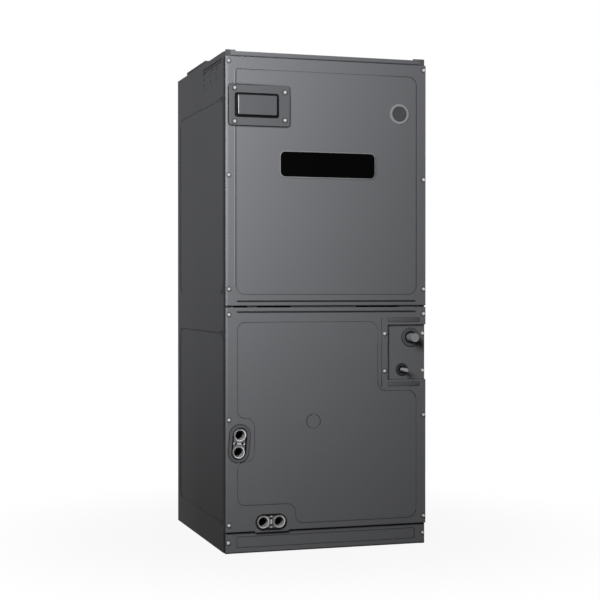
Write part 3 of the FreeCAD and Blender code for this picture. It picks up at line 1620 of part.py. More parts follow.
def blower_wheel():
    # Blades stand between two end rings, round a disc with the hub on the shaft.
    half_width = s.wheel_half_width
    ring_start = half_width - s.wheel_ring_width
    bore = s.shaft_radius + s.bearing_gap
    blade_inner = s.wheel_radius - s.blade_sheet - s.blade_chord
    disc = body("wheel_disc")
    disc_radius = blade_inner - s.blade_sheet / 2
    pad(disc, "YZ", -s.blade_sheet, s.blade_sheet, circle(0, 0, disc_radius), circle(0, 0, bore))
    pad(disc, "YZ", -s.hub_length / 2, s.hub_length / 2, circle(0, 0, s.hub_radius), circle(0, 0, bore))
    pieces = [place(disc, 0, blower_y, blower_z)]
    rings = []
    for name, side in (("left", -1), ("right", 1)):
        ring = body(f"wheel_{name}_ring")
        pad(ring, "YZ", side * ring_start, side * half_width,
            circle(0, 0, s.wheel_radius), circle(0, 0, s.wheel_radius - s.wheel_ring))
        rings.append(place(ring, 0, blower_y, blower_z))
    node(group("wheel_rings", rings), "wheel_rings")
    count = sizes["blade_count"]
    for number in range(count):
        angle = 360 * number / count
        blade = doc.addObject("Part::Box", f"blade_{number}")
        bind(blade, "Length", ring_start * 2)
        bind(blade, "Width", s.blade_chord)
        bind(blade, "Height", s.blade_sheet)
        y = blower_y + blade_inner * math.cos(math.radians(angle))
        z = blower_z + blade_inner * math.sin(math.radians(angle))
        pieces.append(place(blade, -ring_start, y, z, FreeCAD.Rotation(x_axis, angle + sizes["blade_lean"])))
    node(group("blower_wheel", pieces), "blower_wheel")


blower_wheel()

motor_left = -s.motor_end
motor_right = motor_left + s.motor_length
shaft_left = motor_left + s.motor_boss


def blower_drive():
    bore = s.shaft_radius + s.bearing_gap
    boss_end = motor_right + s.motor_boss
    bore_end = shaft_left - s.fit_gap
    motor = lathe("blower_motor", [
        (motor_left, 0),
        (bore_end, 0),
        (bore_end, bore),
        (boss_end, bore),
        (boss_end, s.motor_boss_radius),
        (motor_right, s.motor_boss_radius),
        (motor_right, s.motor_radius),
        (motor_left, s.motor_radius),
    ], 0, blower_y, blower_z, "X")
    node(motor, "blower_motor")
    shaft_length = s.shaft_reach - shaft_left
    shaft = rod("motor_shaft", s.shaft_radius, shaft_length, shaft_left, blower_y, blower_z, "X")
    node(shaft, "motor_shaft")
    module_left = motor_left - s.module_length
    module = rod("motor_module", s.module_radius, s.module_length, module_left, blower_y, blower_z, "X")
    node(module, "motor_module")
    band_left = motor_left + s.band_sheet
    band_inner = s.motor_radius + s.fit_gap
    band_outer = band_inner + s.band_sheet
    outer = rod("band_outer", band_outer, s.band_width, band_left, blower_y, blower_z, "X")
    arm_x = band_left + s.band_width / 2
    pieces = [outer]
    for number in range(sizes["arm_count"]):
        angle = math.radians(90 + 360 * number / sizes["arm_count"])
        outward = FreeCAD.Vector(0, math.cos(angle), math.sin(angle))
        arm = doc.addObject("Part::Cylinder", f"arm_{number}")
        bind(arm, "Radius", s.arm_radius)
        bind(arm, "Height", s.arm_foot - band_inner)
        place(arm, arm_x, blower_y + band_inner * outward.y, blower_z + band_inner * outward.z,
              FreeCAD.Rotation(z_axis, outward))
        foot_y = blower_y + s.arm_foot * outward.y
        foot = rod(f"arm_foot_{number}", s.arm_radius, -side_outer - arm_x, arm_x, foot_y,
                   blower_z + s.arm_foot * outward.z, "X")
        pieces.extend([arm, foot])
    inside_left = band_left - s.band_width / 2
    inside = rod("band_inner", band_inner, s.band_width * 2, inside_left, blower_y, blower_z, "X")
    node(cut("motor_mount", join("motor_cradle", pieces), inside), "motor_mount")


blower_drive()

# Controls on an upright panel above the deck
panel_front = face_y + s.control_setback
panel_x = half - s.control_side
panel_top = height - s.control_top_gap


def control_section():
    panel_y = (panel_front, panel_front + s.skin)
    upright = block("control_upright", (-panel_x, panel_x), panel_y, (deck_top, panel_top))
    foot_y = (panel_front, panel_front + s.control_foot)
    foot = block("control_foot", (-panel_x, panel_x), foot_y, (deck_top, deck_top + s.skin))
    cover_x = s.heater_plate_width / 2
    cover_z = (panel_top - s.heater_plate_top - s.heater_plate_height, panel_top - s.heater_plate_top)
    lap = s.heater_plate_top
    through = (panel_front - s.skin, panel_front + s.skin * 2)
    opening = block("heater_opening", (-cover_x + lap, cover_x - lap), through,
                    (cover_z[0] + lap, cover_z[1] - lap))
    node(cut("control_panel", join("control_bent", [upright, foot]), opening), "control_panel")
    cover = block("heater_blank_plate", (-cover_x, cover_x), (panel_front - s.skin, panel_front), cover_z)
    node(cover, "heater_blank_plate")
    board_back = panel_front - s.board_standoff
    board_x = (panel_x - s.board_side - s.board_width, panel_x - s.board_side)
    board_z = (deck_top + s.board_rise, deck_top + s.board_rise + s.board_height)
    board_front = board_back - s.board_sheet
    pieces = [block("board_plate", board_x, (board_front, board_back), board_z)]
    leg = s.board_standoff / 2
    for x in (board_x[0] + leg, board_x[1] - leg):
        for z in (board_z[0] + leg, board_z[1] - leg):
            pieces.append(rod(f"standoff_{len(pieces)}", leg / 2, s.board_standoff, x, board_back, z, "Y"))
    relay = s.board_relay
    for number in range(3):
        low_x = board_x[0] + relay * (0.5 + 1.5 * number)
        relay_z = (board_z[1] - relay * 1.5, board_z[1] - relay * 0.5)
        relay_y = (board_front - relay, board_front)
        pieces.append(block(f"relay_{number}", (low_x, low_x + relay), relay_y, relay_z))
    plug_z = (board_z[0] + relay / 2, board_z[0] + relay)
    pieces.append(block("board_plug", (board_x[0] + relay, board_x[1] - relay),
                        (board_front - relay / 2, board_front), plug_z))
    node(join("control_board", pieces), "control_board")
    core_x = (-s.transformer_left, s.transformer_width - s.transformer_left)
    core_z = (deck_top + s.transformer_rise, deck_top + s.transformer_rise + s.transformer_height)
    winding = s.transformer_coil
    core_front = panel_front - s.transformer_depth + winding
    core = block("transformer_core", core_x, (core_front, panel_front), core_z)
    coil_x = (core_x[0] + winding, core_x[1] - winding)
    coil_y = (panel_front - s.transformer_depth, core_front)
    coil_block = block("transformer_winding", coil_x, coil_y, (core_z[0] + winding, core_z[1] - winding))
    node(join("transformer", [core, coil_block]), "transformer")
    strip_x = (-panel_x + s.terminal_side, -panel_x + s.terminal_side + s.terminal_width)
    strip_z = (deck_top + s.terminal_rise, deck_top + s.terminal_rise + s.terminal_height)
    strip = block("terminal_strip", strip_x, (panel_front - s.terminal_depth, panel_front), strip_z)
    pitch = s.terminal_width / 4
    slots = []
    for number in range(4):
        low_x = strip_x[0] + pitch * (number + 0.2)
        slots.append(block(f"terminal_slot_{number}", (low_x, low_x + pitch * 0.6),
                           (panel_front - s.terminal_depth * 1.5, panel_front - s.terminal_depth / 2),
                           (strip_z[0] + s.terminal_height / 2, strip_z[1] + s.terminal_height)))
    node(cut("terminal_block", strip, *slots), "terminal_block")


control_section()


def cabinet_insulation():
    # Sheets of lining on both side walls and the back, below and above the deck.
    liner_front = face_y + s.liner_setback
    back_y_span = (liner_back - s.liner, liner_back)
    side_y = (liner_front, back_y_span[0])
    below = (rail_top, deck_low - s.deck_flange)
    above = (deck_top, wall_top - s.liner)
    sheets = []
    for name, z in (("below", below), ("above", above)):
        sheets.append(block(f"left_liner_{name}", (-liner_outer, -liner_inner), side_y, z))
        sheets.append(block(f"right_liner_{name}", (liner_inner, liner_outer), side_y, z))
        sheets.append(block(f"back_liner_{name}", (-liner_outer, liner_outer), back_y_span, z))
    node(group("cabinet_insulation", sheets), "cabinet_insulation")


cabinet_insulation()

doc.recompute()
for thing in doc.Objects:
    if "Invalid" in thing.State or "Error" in thing.State:
        raise RuntimeError(f"{thing.Label} did not build: {thing.State}")
for base, feature in pockets:
    if feature.Shape.Volume > base.Shape.Volume - 1e-6:
        raise RuntimeError(f"{feature.Label} cuts nothing")
os.makedirs("parts", exist_ok=True)
for thing in nodes:
    if thing.Shape.isNull() or not thing.Shape.isValid():
        raise RuntimeError(f"{thing.Label} has no valid shape")
    thing.Shape.exportStep(f"parts/{thing.Label}.step")
print(len(nodes), "pieces written")
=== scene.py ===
import json
import math
import bpy
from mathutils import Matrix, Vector


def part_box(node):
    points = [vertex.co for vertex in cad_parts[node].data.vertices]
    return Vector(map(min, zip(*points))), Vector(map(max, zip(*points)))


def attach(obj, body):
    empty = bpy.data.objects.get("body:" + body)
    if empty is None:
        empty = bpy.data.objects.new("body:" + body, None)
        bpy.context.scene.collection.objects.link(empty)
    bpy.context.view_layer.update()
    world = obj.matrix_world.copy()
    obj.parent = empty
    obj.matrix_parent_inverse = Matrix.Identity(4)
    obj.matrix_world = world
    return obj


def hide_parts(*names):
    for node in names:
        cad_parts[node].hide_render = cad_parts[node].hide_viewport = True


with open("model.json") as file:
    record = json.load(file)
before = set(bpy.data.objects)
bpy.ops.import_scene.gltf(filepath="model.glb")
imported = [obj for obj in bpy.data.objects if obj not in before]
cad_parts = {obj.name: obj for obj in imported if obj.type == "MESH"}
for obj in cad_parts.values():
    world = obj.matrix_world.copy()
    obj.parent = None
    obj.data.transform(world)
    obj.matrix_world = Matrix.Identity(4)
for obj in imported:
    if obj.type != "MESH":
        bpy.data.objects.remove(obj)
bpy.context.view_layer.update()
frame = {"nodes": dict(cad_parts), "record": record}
nodes = frame["nodes"]
slotOf = {entry["node"]: entry["material_slot"] for entry in frame["record"]["subparts"]}
print("frame loaded:", len(nodes), "nodes")


def tone(red, green, blue):  # screen colour 0-255 to the shader's linear colour
    def part(level):
        level /= 255
        return level / 12.92 if level <= 0.04045 else ((level + 0.055) / 1.055) ** 2.4
    return (part(red), part(green), part(blue), 1.0)


def halves(box):  # middle and half size of a box
    low, high = Vector(box[0]), Vector(box[1])
    return (low + high) / 2, (high - low) / 2


def wired(operation, turned=False):  # an operator of Wire, which adds its Math node
    def act(self, other=0.0):
        first, second = (other, self) if turned else (self, other)
        return Shader(self.tree).node("ShaderNodeMath", {"operation": operation}, {0: first, 1: second})
    return act


class Wire:  # a shader output that takes part in sums
    def __init__(self, tree, socket):
        self.tree = tree
        self.socket = socket

    __add__, __radd__ = wired("ADD"), wired("ADD", True)
    __sub__, __rsub__ = wired("SUBTRACT"), wired("SUBTRACT", True)
    __mul__, __rmul__ = wired("MULTIPLY"), wired("MULTIPLY", True)
    __truediv__, __rtruediv__ = wired("DIVIDE"), wired("DIVIDE", True)
    __gt__, __lt__, __abs__ = wired("GREATER_THAN"), wired("LESS_THAN"), wired("ABSOLUTE")
    most, least, root = wired("MAXIMUM"), wired("MINIMUM"), wired("SQRT")
    turn, wave = wired("ARCTAN2"), wired("SINE")

    def span(self, other):  # length of the two together
        return (self * self + other * other).root()


class Shader:  # a node tree, and the one way to add to it
    def __init__(self, tree):
        self.tree = tree

    def fill(self, slot, value):  # a link for what varies, a number for what doesn't
        if isinstance(value, Wire):
            self.tree.links.new(value.socket, slot)
        else:
            slot.default_value = value

    def node(self, kind, settings=None, sockets=None, out=0):
        made = self.tree.nodes.new(kind)
        for key, value in (settings or {}).items():
            setattr(made, key, value)
        for key, value in (sockets or {}).items():
            self.fill(made.inputs[key], value)
        return Wire(self.tree, made.outputs[out])

    def ray(self, kind):
        return self.node("ShaderNodeLightPath", out=f"Is {kind} Ray")


class Finish(Shader):  # one material and the nodes in it
    names = {"colour": "Base Color", "rough": "Roughness", "metal": "Metallic", "normal": "Normal",
             "specular": "Specular IOR Level", "sheen": "Sheen Weight"}

    def __init__(self, name):
        self.material = bpy.data.materials.new(name)
        self.material.use_nodes = True
        super().__init__(self.material.node_tree)
        self.shader = self.tree.nodes["Principled BSDF"]

    def place(self):
        return self.node("ShaderNodeTexCoord", out="Object")

    def coords(self, stretch=(1, 1, 1)):
        return self.node("ShaderNodeMapping", {}, {"Vector": self.place(), "Scale": stretch})

    def parts(self, vector):  # X, Y and Z of a vector
        split = self.node("ShaderNodeSeparateXYZ", {}, {0: vector})
        return [Wire(self.tree, output) for output in split.socket.node.outputs]

    def axes(self):  # where the point is, in metres
        return self.parts(self.place())

    def facing(self):  # which way the surface looks
        return self.parts(self.node("ShaderNodeNewGeometry", out="Normal"))

    def noise(self, scale, detail=3.0, stretch=(1, 1, 1), rough=0.5):
        return self.node("ShaderNodeTexNoise", {}, {
            "Vector": self.coords(stretch), "Scale": scale, "Detail": detail, "Roughness": rough})

    def openness(self, reach):  # 1 in the open, less in a crease
        return self.node("ShaderNodeAmbientOcclusion", {"samples": 12}, {"Distance": reach}, out="AO")

    def blend(self, factor, first, second):  # colour between two tones
        return self.node("ShaderNodeMix", {"data_type": "RGBA"}, {0: factor, 6: first, 7: second}, out=2)

    def ramp(self, value, low, high, share=None):  # 0 at low, 1 or the share at high, held between
        step = self.node("ShaderNodeMapRange", {"clamp": True}, {
            "Value": value, "From Min": low, "From Max": high})
        return step if share is None else step * share

    def bump(self, height, strength, distance):
        return self.node("ShaderNodeBump", {}, {"Height": height, "Strength": strength, "Distance": distance})

    def feed(self, **values):
        for key, value in values.items():
            self.fill(self.shader.inputs[self.names[key]], value)
        return self.material

    def surface(self, colour, grain, settings, **more):  # roughness and bump follow the grain
        rough, span = settings["rough"]
        if "specular" in settings:
            more["specular"] = settings["specular"]
        normal = self.bump(grain, *settings["bump"])
        return self.feed(colour=colour, rough=rough + grain * span, normal=normal, **more)


# camera at the photo's place
cameraSettings = {"at": (-1.119305, -3.631070, 0.655762), "yaw": 0.30195, "pitch": -0.00698, "lens": 83.808,
                  "sensor": 36.0, "far": 60.0}


def makeCamera(settings):
    camera = bpy.data.objects.new("photoCamera", bpy.data.cameras.new("photoCamera"))
    bpy.context.scene.collection.objects.link(camera)
    camera.data.lens = settings["lens"]
    camera.data.sensor_width = settings["sensor"]
    camera.data.clip_end = settings["far"]
    yaw, pitch = settings["yaw"], settings["pitch"]
    ahead = Vector((math.sin(yaw) * math.cos(pitch), math.cos(yaw) * math.cos(pitch), math.sin(pitch)))
    camera.location = settings["at"]
    camera.rotation_mode = "QUATERNION"
    camera.rotation_quaternion = ahead.to_track_quat("-Z", "Y")
    bpy.context.scene.camera = camera


makeCamera(cameraSettings)
print("camera set")

# light, floor and background
studio = {
    "world": 0.05,
    "gloss": 0.25,
    "floorTone": tone(48, 48, 49),
    "floorRough": 0.9,
    "floorSize": 14,
    "floorMiddle": (0, 1.5, 0),
    # the floor shows a little less of its glow near the object, as a painted shadow
    "shadowFrom": 0.3,
    "shadowTo": 1.1,
    "shadowLevel": 0.93,
    "lamps": [
        ("keyLamp", (-0.85, -1.34, 1.22), (-0.58, -0.27, 1.02), (0.7, 0.7), 23.8),
        ("sideLamp", (-2.3, -0.1, 2.0), (-0.27, 0.0, 0.75), (1.0, 1.0), 0.8),
        ("rightLamp", (2.5, 0.7, 1.7), (0.27, 0.0, 0.7), (1.2, 1.2), 26.0),
        ("backLamp", (0.7, 3.0, 2.3), (0.0, 0.28, 0.7), (1.4, 1.4), 42.0),
    ],
}


def makeStudio(settings):
    for name, at, target, size, watts in settings["lamps"]:
        lamp = bpy.data.objects.new(name, bpy.data.lights.new(name, "AREA"))
        bpy.context.scene.collection.objects.link(lamp)
        lamp.data.shape = "RECTANGLE"
        lamp.data.size, lamp.data.size_y = size
        lamp.data.energy = watts
        lamp.location = at
        lamp.rotation_mode = "QUATERNION"
        lamp.rotation_quaternion = (Vector(target) - Vector(at)).to_track_quat("-Z", "Y")
        lamp.visible_camera = False
    world = bpy.data.worlds.new("studioWorld")
    bpy.context.scene.world = world
    world.use_nodes = True
    sky = Shader(world.node_tree)
    back = sky.tree.nodes["Background"]
    seen = sky.ray("Camera").most(sky.ray("Transmission")).most(sky.ray("Glossy") * settings["gloss"])
    sky.fill(back.inputs["Color"], (1, 1, 1, 1))
    sky.fill(back.inputs["Strength"], seen * (1 - settings["world"]) + settings["world"])
    bpy.ops.object.select_all(action="DESELECT")
    bpy.ops.mesh.primitive_plane_add(size=settings["floorSize"], location=settings["floorMiddle"])
    floor = bpy.context.object
    bpy.ops.object.transform_apply(location=True)
    floor.name = "floor"
    pale = Finish("paleFloor")
    pale.feed(colour=settings["floorTone"], rough=settings["floorRough"], specular=0.0)
    across, depth = pale.axes()[:2]
    # painted shadow: less glow near the middle of the floor
    away = pale.node("ShaderNodeMapRange", {"interpolation_type": "SMOOTHSTEP"}, {
        "Value": across.span(depth), "From Min": settings["shadowFrom"], "From Max": settings["shadowTo"],
        "To Min": settings["shadowLevel"], "To Max": 1.0})
    seen = pale.ray("Camera").most(pale.ray("Glossy") * settings["gloss"])
    matt, glow = Wire(pale.tree, pale.shader.outputs[0]), pale.node("ShaderNodeEmission")
    mixer = pale.node("ShaderNodeMixShader", {}, {0: seen * away, 1: matt, 2: glow})
    pale.fill(pale.tree.nodes["Material Output"].inputs["Surface"], mixer)
    floor.data.materials.append(pale.material)


makeStudio(studio)
bpy.context.scene.view_settings.view_transform = "Standard"
print("studio lit")

# satin baked paint, with painted shade in the creases
paint = {"tone": tone(119, 120, 123), "deep": tone(112, 113, 116), "creaseShade": tone(20, 20, 21),
         "creaseReach": 0.0055, "creaseSpan": (0.985, 0.72), "creaseDepth": 0.9,
         "cloud": 2.6, "speck": 950.0, "cloudShare": 0.7,
         "rough": (0.40, 0.12), "bump": (0.05, 0.0003), "specular": 0.12}


def paintedSheet(name, settings):
    made = Finish(name)
    cloud, speck = made.noise(settings["cloud"], 2.0), made.noise(settings["speck"], 2.0)
    share = settings["cloudShare"]
    colour = made.blend(cloud * share + speck * (1 - share), settings["deep"], settings["tone"])
    return made, colour, speck


def closePaint(made, colour, speck, settings, strength=1.0):  # the painted crease shade goes over everything else
    # painted shade: darker where nearby surfaces close in
    creaseShade = made.ramp(made.openness(settings["creaseReach"]), *settings["creaseSpan"])
    creaseShade = creaseShade * settings["creaseDepth"] * strength
    return made.surface(made.blend(creaseShade, colour, settings["creaseShade"]), speck, settings)


def sheetPaint(name, settings):
    made, colour, speck = paintedSheet(name, settings)
    return closePaint(made, colour, speck, settings)


def toned(settings, light, deep):  # the same paint in another grey
    return {**settings, "tone": tone(*light), "deep": tone(*deep)}


# doors: painted highlight on the side folds, towards the top and on a ridge, painted shade on the wrap, in
# the beads, along the field's left line and past the breaker plate, and crease shade lines that fade where
# they hardly show
doorEdge = {
    # fold is the painted highlight tone, used on the side folds, towards the top and on the ridge
    "fold": tone(150, 151, 155), "leftFoldHighlight": (-0.2585, -0.2630, 0.6), "rightFoldHighlight": (0.2585, 0.2630, 0.12),
    "foldHighlightLevels": (0.15, 0.95), "head": (0.95, 1.24, 0.16),  # from, to and share; head gives painted light towards the top
    # painted shade on the wrap, in the beads and along the field's left line
    "wrapStart": 0.26645, "wrapFront": -0.2734, "wrapDepth": (-0.2512, -0.2526),
    "beadLevels": (0.6282, 0.6014), "beadHalf": 0.0022, "beadEnd": 0.2367, "beadFloor": -0.2756,
    "beadShade": 0.85, "fieldLeft": -0.2409, "ridgeLeft": -0.2436, "fieldHalf": 0.0014,
    "fieldLevels": (0.667, 1.203), "fieldShade": 0.72, "ridgeLight": 0.5,
    # painted shadow past the breaker plate
    "plateShift": (-0.0022, -0.0016), "plateRadius": 0.007, "plateShade": 0.8,
    "topLine": 1.14, "topLevels": (0.52, 0.59), "topStrength": 0.4, "corner": (0.13, 0.2),
    "knockout": (-0.0383, 0.3246, 0.019), "bridgeReach": 0.004, "bridgeShade": 0.1,
    "bridges": ((0.174, 0.985, 0.97), (0.259, -0.966, 0.743)),  # direction from the middle, and how narrow
    "ringClear": 0.0005, "plateClear": 0.001, "clearReach": 0.006, "fadeReach": 0.003, "fadeEdge": 0.8,
}
bottomPair = ((-0.1907, -0.276, 0.0565), (-0.1093, -0.276, 0.0965))  # round the two lower ports
softLines = (  # stretches of the lower field's line, with what stays of them
    (((-0.236, 0, 0.2142), (-0.19, 0, 0.2265)), 0.15),
    (((-0.2025, 0, 0.2142), (-0.186, 0, 0.252)), 0.15),
    (((0.16, 0, 0.392), (0.216, 0, 0.407)), 0.35),
    (((0.1375, 0, 0.43), (0.1462, 0, 0.55)), 0.5),
    (((0.234, 0, 0.09), (0.244, 0, 0.375)), 0.5))


def clearOf(made, box, margin, reach, edge, disc=False):  # 0 on a piece set in the door, 1 away from it
    across, up = made.axes()[::2]
    middle, half = halves(box)
    sideways, upward = abs(across - middle.x), abs(up - middle.z)
    if disc:
        away = sideways.span(upward) - half.x
    else:
        away = (sideways - half.x).most(upward - half.z)
    return made.ramp(away, margin + reach * edge["fadeEdge"], margin + reach)


def knockoutBridges(across, up, edge):  # 1 where the door's knockout is still joined to the sheet
    x, z, radius = edge["knockout"]
    sideways, upward = across - x, up - z
    reach = sideways.span(upward)
    first, second = [sideways * alongX + upward * alongZ > reach * narrow
                     for alongX, alongZ, narrow in edge["bridges"]]
    return first.most(second) * (abs(reach - radius) < edge["bridgeReach"])


def plateShadow(across, up, box, edge):  # painted shadow past a plate's left and lower edges
    middle, half = halves(box)
    shiftX, shiftZ = edge["plateShift"]
    radius = edge["plateRadius"]
    beyond = (abs(across - (middle.x + shiftX)) - (half.x - radius)).most(0.0)
    above = (abs(up - (middle.z + shiftZ)) - (half.z - radius)).most(0.0)
    return beyond.span(above) < radius


def doorPaint(name, settings, edge, quiet=(), faded=(), plates=()):
    made, colour, speck = paintedSheet(name, settings)
    across, depth, up = made.axes()
    # painted light: lighter towards the top
    colour = made.blend(made.ramp(up, *edge["head"]), colour, edge["fold"])
    front = depth < edge["wrapFront"]
    # painted highlight along the side folds, stronger on the left
    leftFoldHighlight = made.ramp(across, *edge["leftFoldHighlight"]) * made.ramp(up, *edge["foldHighlightLevels"])
    rightFoldHighlight = made.ramp(across, *edge["rightFoldHighlight"])
    colour = made.blend((leftFoldHighlight + rightFoldHighlight) * front, colour, edge["fold"])
    # painted shade on the wrap behind the side folds
    wrapShade = (abs(across) > edge["wrapStart"]) * (1 - front) * made.ramp(depth, *edge["wrapDepth"])
    # painted shade in the beads
    beads = sum(abs(up - level) < edge["beadHalf"] for level in edge["beadLevels"])
    beads = beads * (abs(across) < edge["beadEnd"]) * (depth > edge["beadFloor"])
    low, high = edge["fieldLevels"]
    beside = (up > low) * (up < high) * front
    # painted highlight on the ridge beside the field's left line
    ridgeHighlight = (abs(across - edge["ridgeLeft"]) < edge["fieldHalf"]) * beside
    colour = made.blend(ridgeHighlight * edge["ridgeLight"], colour, edge["fold"])
    # painted shade along the field's left line
    turned = (abs(across - edge["fieldLeft"]) < edge["fieldHalf"]) * beside
    dark = wrapShade.most(beads * edge["beadShade"]).most(turned * edge["fieldShade"])
    # painted shadow past each plate
    for box in plates:
        dark = dark.most(plateShadow(across, up, box, edge) * edge["plateShade"])
    colour = made.blend(dark * settings["creaseDepth"], colour, settings["creaseShade"])
    low, high = edge["topLevels"]
    top = (up > edge["topLine"]) + (up > low) * (up < high)
    middle = 1.0 - made.ramp(abs(across), *edge["corner"])
    strength = 1.0 - top * middle * (1.0 - edge["topStrength"])
    strength = strength * (1.0 - knockoutBridges(across, up, edge) * (1.0 - edge["bridgeShade"]))
    for box, margin, disc in quiet:
        strength = clearOf(made, box, edge[margin], edge["clearReach"], edge, disc) * strength
    for box, least in faded:
        strength = (clearOf(made, box, 0.0, edge["fadeReach"], edge) * (1.0 - least) + least) * strength
    return closePaint(made, colour, speck, settings, strength)


# side walls: a darker grey with painted shade and light over the wall, painted shade on the inset post, the
# bead and the field corners, and broken cuts round the knockouts
# the same paint in a darker grey for the side walls, as painted shade
shadedWallPaint = toned(paint, (104, 105, 108), (98, 99, 102))
wallEdge = {
    # dark is the painted shade tone, also used for the knockout cuts; pale and the underside tone are painted
    # light. The foot and front shares give painted shade towards the bottom and the front, the rear share
    # painted light towards the back
    "dark": tone(34, 34, 35), "pale": tone(160, 161, 164), "undersideLight": tone(232, 233, 236),
    "foot": (0.46, 0.0, 0.5), "foreShade": (0.02, -0.25, 0.37), "rear": (0.02, 0.276, 0.27),
    # these pick the steps' undersides for painted light and their forward faces at the rear for painted shade
    "downward": (-0.2, -0.8), "stepTop": 1.15, "forward": (-0.05, -0.4, 0.75), "stepFront": 0.02,
    # painted shade on the inset post at the foot, along the bead's edges and at the field lines
    "postFront": -0.2509, "postTop": 0.0535,
    "beadLevel": 1.231, "beadHalf": 0.0034, "lineHalf": 0.0018, "beadFront": -0.235, "beadRear": -0.034,
    "fields": ((0.07, 0.5508), (0.6498, 1.136)), "fieldFront": -0.2465, "fieldRear": 0.25,
    "fieldRadius": 0.03, "fieldLine": 0.0012, "fieldTurn": 0.22, "fieldShade": 0.8, "line": (-0.205, -0.235),
    "knockouts": ((-0.189, 0.017), (-0.134, 0.02), (-0.06, 0.0225)), "knockoutLevel": 1.205,
    "cutHalf": 0.0012, "cutDashes": 9, "cutGap": -0.3, "cutShade": 0.9,
    "creaseShade": (-0.02, -0.215), "frontCrease": 0.12, "rearCrease": 0.1,
}
evenEdge = {**wallEdge, **{key: (*wallEdge[key][:2], 0.0) for key in ("foreShade", "rear")}}  # no painted shade or light from front to back on it


def fieldLine(made, depth, up, low, high, edge):  # painted shade line where a pressed field turns in at the front
    front, rear, radius = edge["fieldFront"], edge["fieldRear"], edge["fieldRadius"]
    beyond = (abs(depth - (front + rear) / 2) - ((rear - front) / 2 - radius)).most(0.0)
    above = (abs(up - (low + high) / 2) - ((high - low) / 2 - radius)).most(0.0)
    turn = beyond * edge["fieldTurn"]
    line = abs(beyond.span(above) - radius - turn) < turn + edge["fieldLine"]
    return line * made.ramp(depth, *edge["line"])


def knockoutCut(depth, up, at, radius, edge):  # a broken ring, held by its bridges
    sideways, upward = depth - at, up - edge["knockoutLevel"]
    cut = abs(sideways.span(upward) - radius) < edge["cutHalf"]
    return cut * ((upward.turn(sideways) * edge["cutDashes"]).wave() > edge["cutGap"])


def sidePaint(name, settings, edge):
    made, colour, speck = paintedSheet(name, settings)
    depth, up = made.axes()[1:]
    forward, upward = made.facing()[1:]
    # painted shade towards the foot, towards the front and on the forward-facing steps at the rear; painted
    # light towards the rear and on the steps' undersides
    for share, shade in ((made.ramp(up, *edge["foot"]), "dark"), (made.ramp(depth, *edge["foreShade"]), "dark"),
                         (made.ramp(depth, *edge["rear"]), "pale"),
                         (made.ramp(upward, *edge["downward"]) * (up < edge["stepTop"]), "undersideLight"),
                         (made.ramp(forward, *edge["forward"]) * (depth > edge["stepFront"]), "dark")):
        colour = made.blend(share, colour, edge[shade])
    # painted shade on the inset post at the foot, along the bead's edges and at the field lines, and dark
    # broken cuts round the knockouts
    dark = (depth < edge["postFront"]) * (up < edge["postTop"])
    bead = abs(abs(up - edge["beadLevel"]) - edge["beadHalf"]) < edge["lineHalf"]
    dark = dark.most(bead * (depth > edge["beadFront"]) * (depth < edge["beadRear"]))
    for low, high in edge["fields"]:
        dark = dark.most(fieldLine(made, depth, up, low, high, edge) * edge["fieldShade"])
    for at, radius in edge["knockouts"]:
        dark = dark.most(knockoutCut(depth, up, at, radius, edge) * edge["cutShade"])
    colour = made.blend(dark * settings["creaseDepth"], colour, edge["dark"])
    nearFront = made.ramp(depth, *edge["creaseShade"])
    strength = nearFront * (edge["frontCrease"] - edge["rearCrease"]) + edge["rearCrease"]
    return closePaint(made, colour, speck, settings, strength)


# rails behind the door gaps, each with painted shade along the gap, in lengths
# painted shade tones for the gaps
gapShadeBlack, gapShadeGrey = tone(10, 10, 11), tone(70, 70, 72)
midGapShade = {"level": 0.6148, "half": 0.007, "lengths": (
    (-0.2436, -0.2096, gapShadeBlack), (-0.1847, -0.0965, gapShadeBlack), (0.078, 0.1943, gapShadeBlack))}
sillGapShade = {"level": 0.0535, "half": 0.007, "lengths": (
    (-0.2533, -0.1916, gapShadeBlack), (-0.1, 0.26, gapShadeGrey))}


def gapRail(name, settings, gapShades):
    made, colour, speck = paintedSheet(name, settings)
    across, up = made.axes()[::2]
    strip = abs(up - gapShades["level"]) < gapShades["half"]
    for left, right, shade in gapShades["lengths"]:
        # painted shade along the gap, black or grey in each length
        colour = made.blend(strip * (across > left) * (across < right), colour, shade)
    return made.surface(colour, speck, settings)


# galvanised sheet with its spangle
spangle = {"flake": 55.0, "fine": 300.0, "metal": 0.55, "rough": (0.46, 0.14), "bump": (0.08, 0.0004)}


def sheetZinc(name, light, dull, settings):
    made = Finish(name)
    flake = made.node("ShaderNodeTexVoronoi", {}, {"Vector": made.coords(), "Scale": settings["flake"]},
                      out="Color")
    grey = made.node("ShaderNodeRGBToBW", {}, {"Color": flake})
    rough, span = settings["rough"]
    normal = made.bump(made.noise(settings["fine"]), *settings["bump"])
    return made.feed(colour=made.blend(grey, tone(*dull), tone(*light)), metal=settings["metal"],
                     rough=rough + grey * span, normal=normal)


# tube, rod or machined metal
metalGrain = {"streak": 120.0, "stain": 14.0, "span": 0.16, "bump": (0.06, 0.0004)}


def drawnMetal(name, light, dull, rough, stretch=(1, 1, 1), metal=1.0):
    made = Finish(name)
    streak = made.noise(metalGrain["streak"], 4.0, stretch)
    colour = made.blend(made.noise(metalGrain["stain"], 4.0), tone(*dull), tone(*light))
    return made.surface(colour, streak, {**metalGrain, "rough": (rough, metalGrain["span"])}, metal=metal)


# moulded plastic and enamel
plasticGrain = {"grain": 420.0, "cloud": 9.0, "span": 0.14, "bump": (0.12, 0.0004), "specular": 0.45}


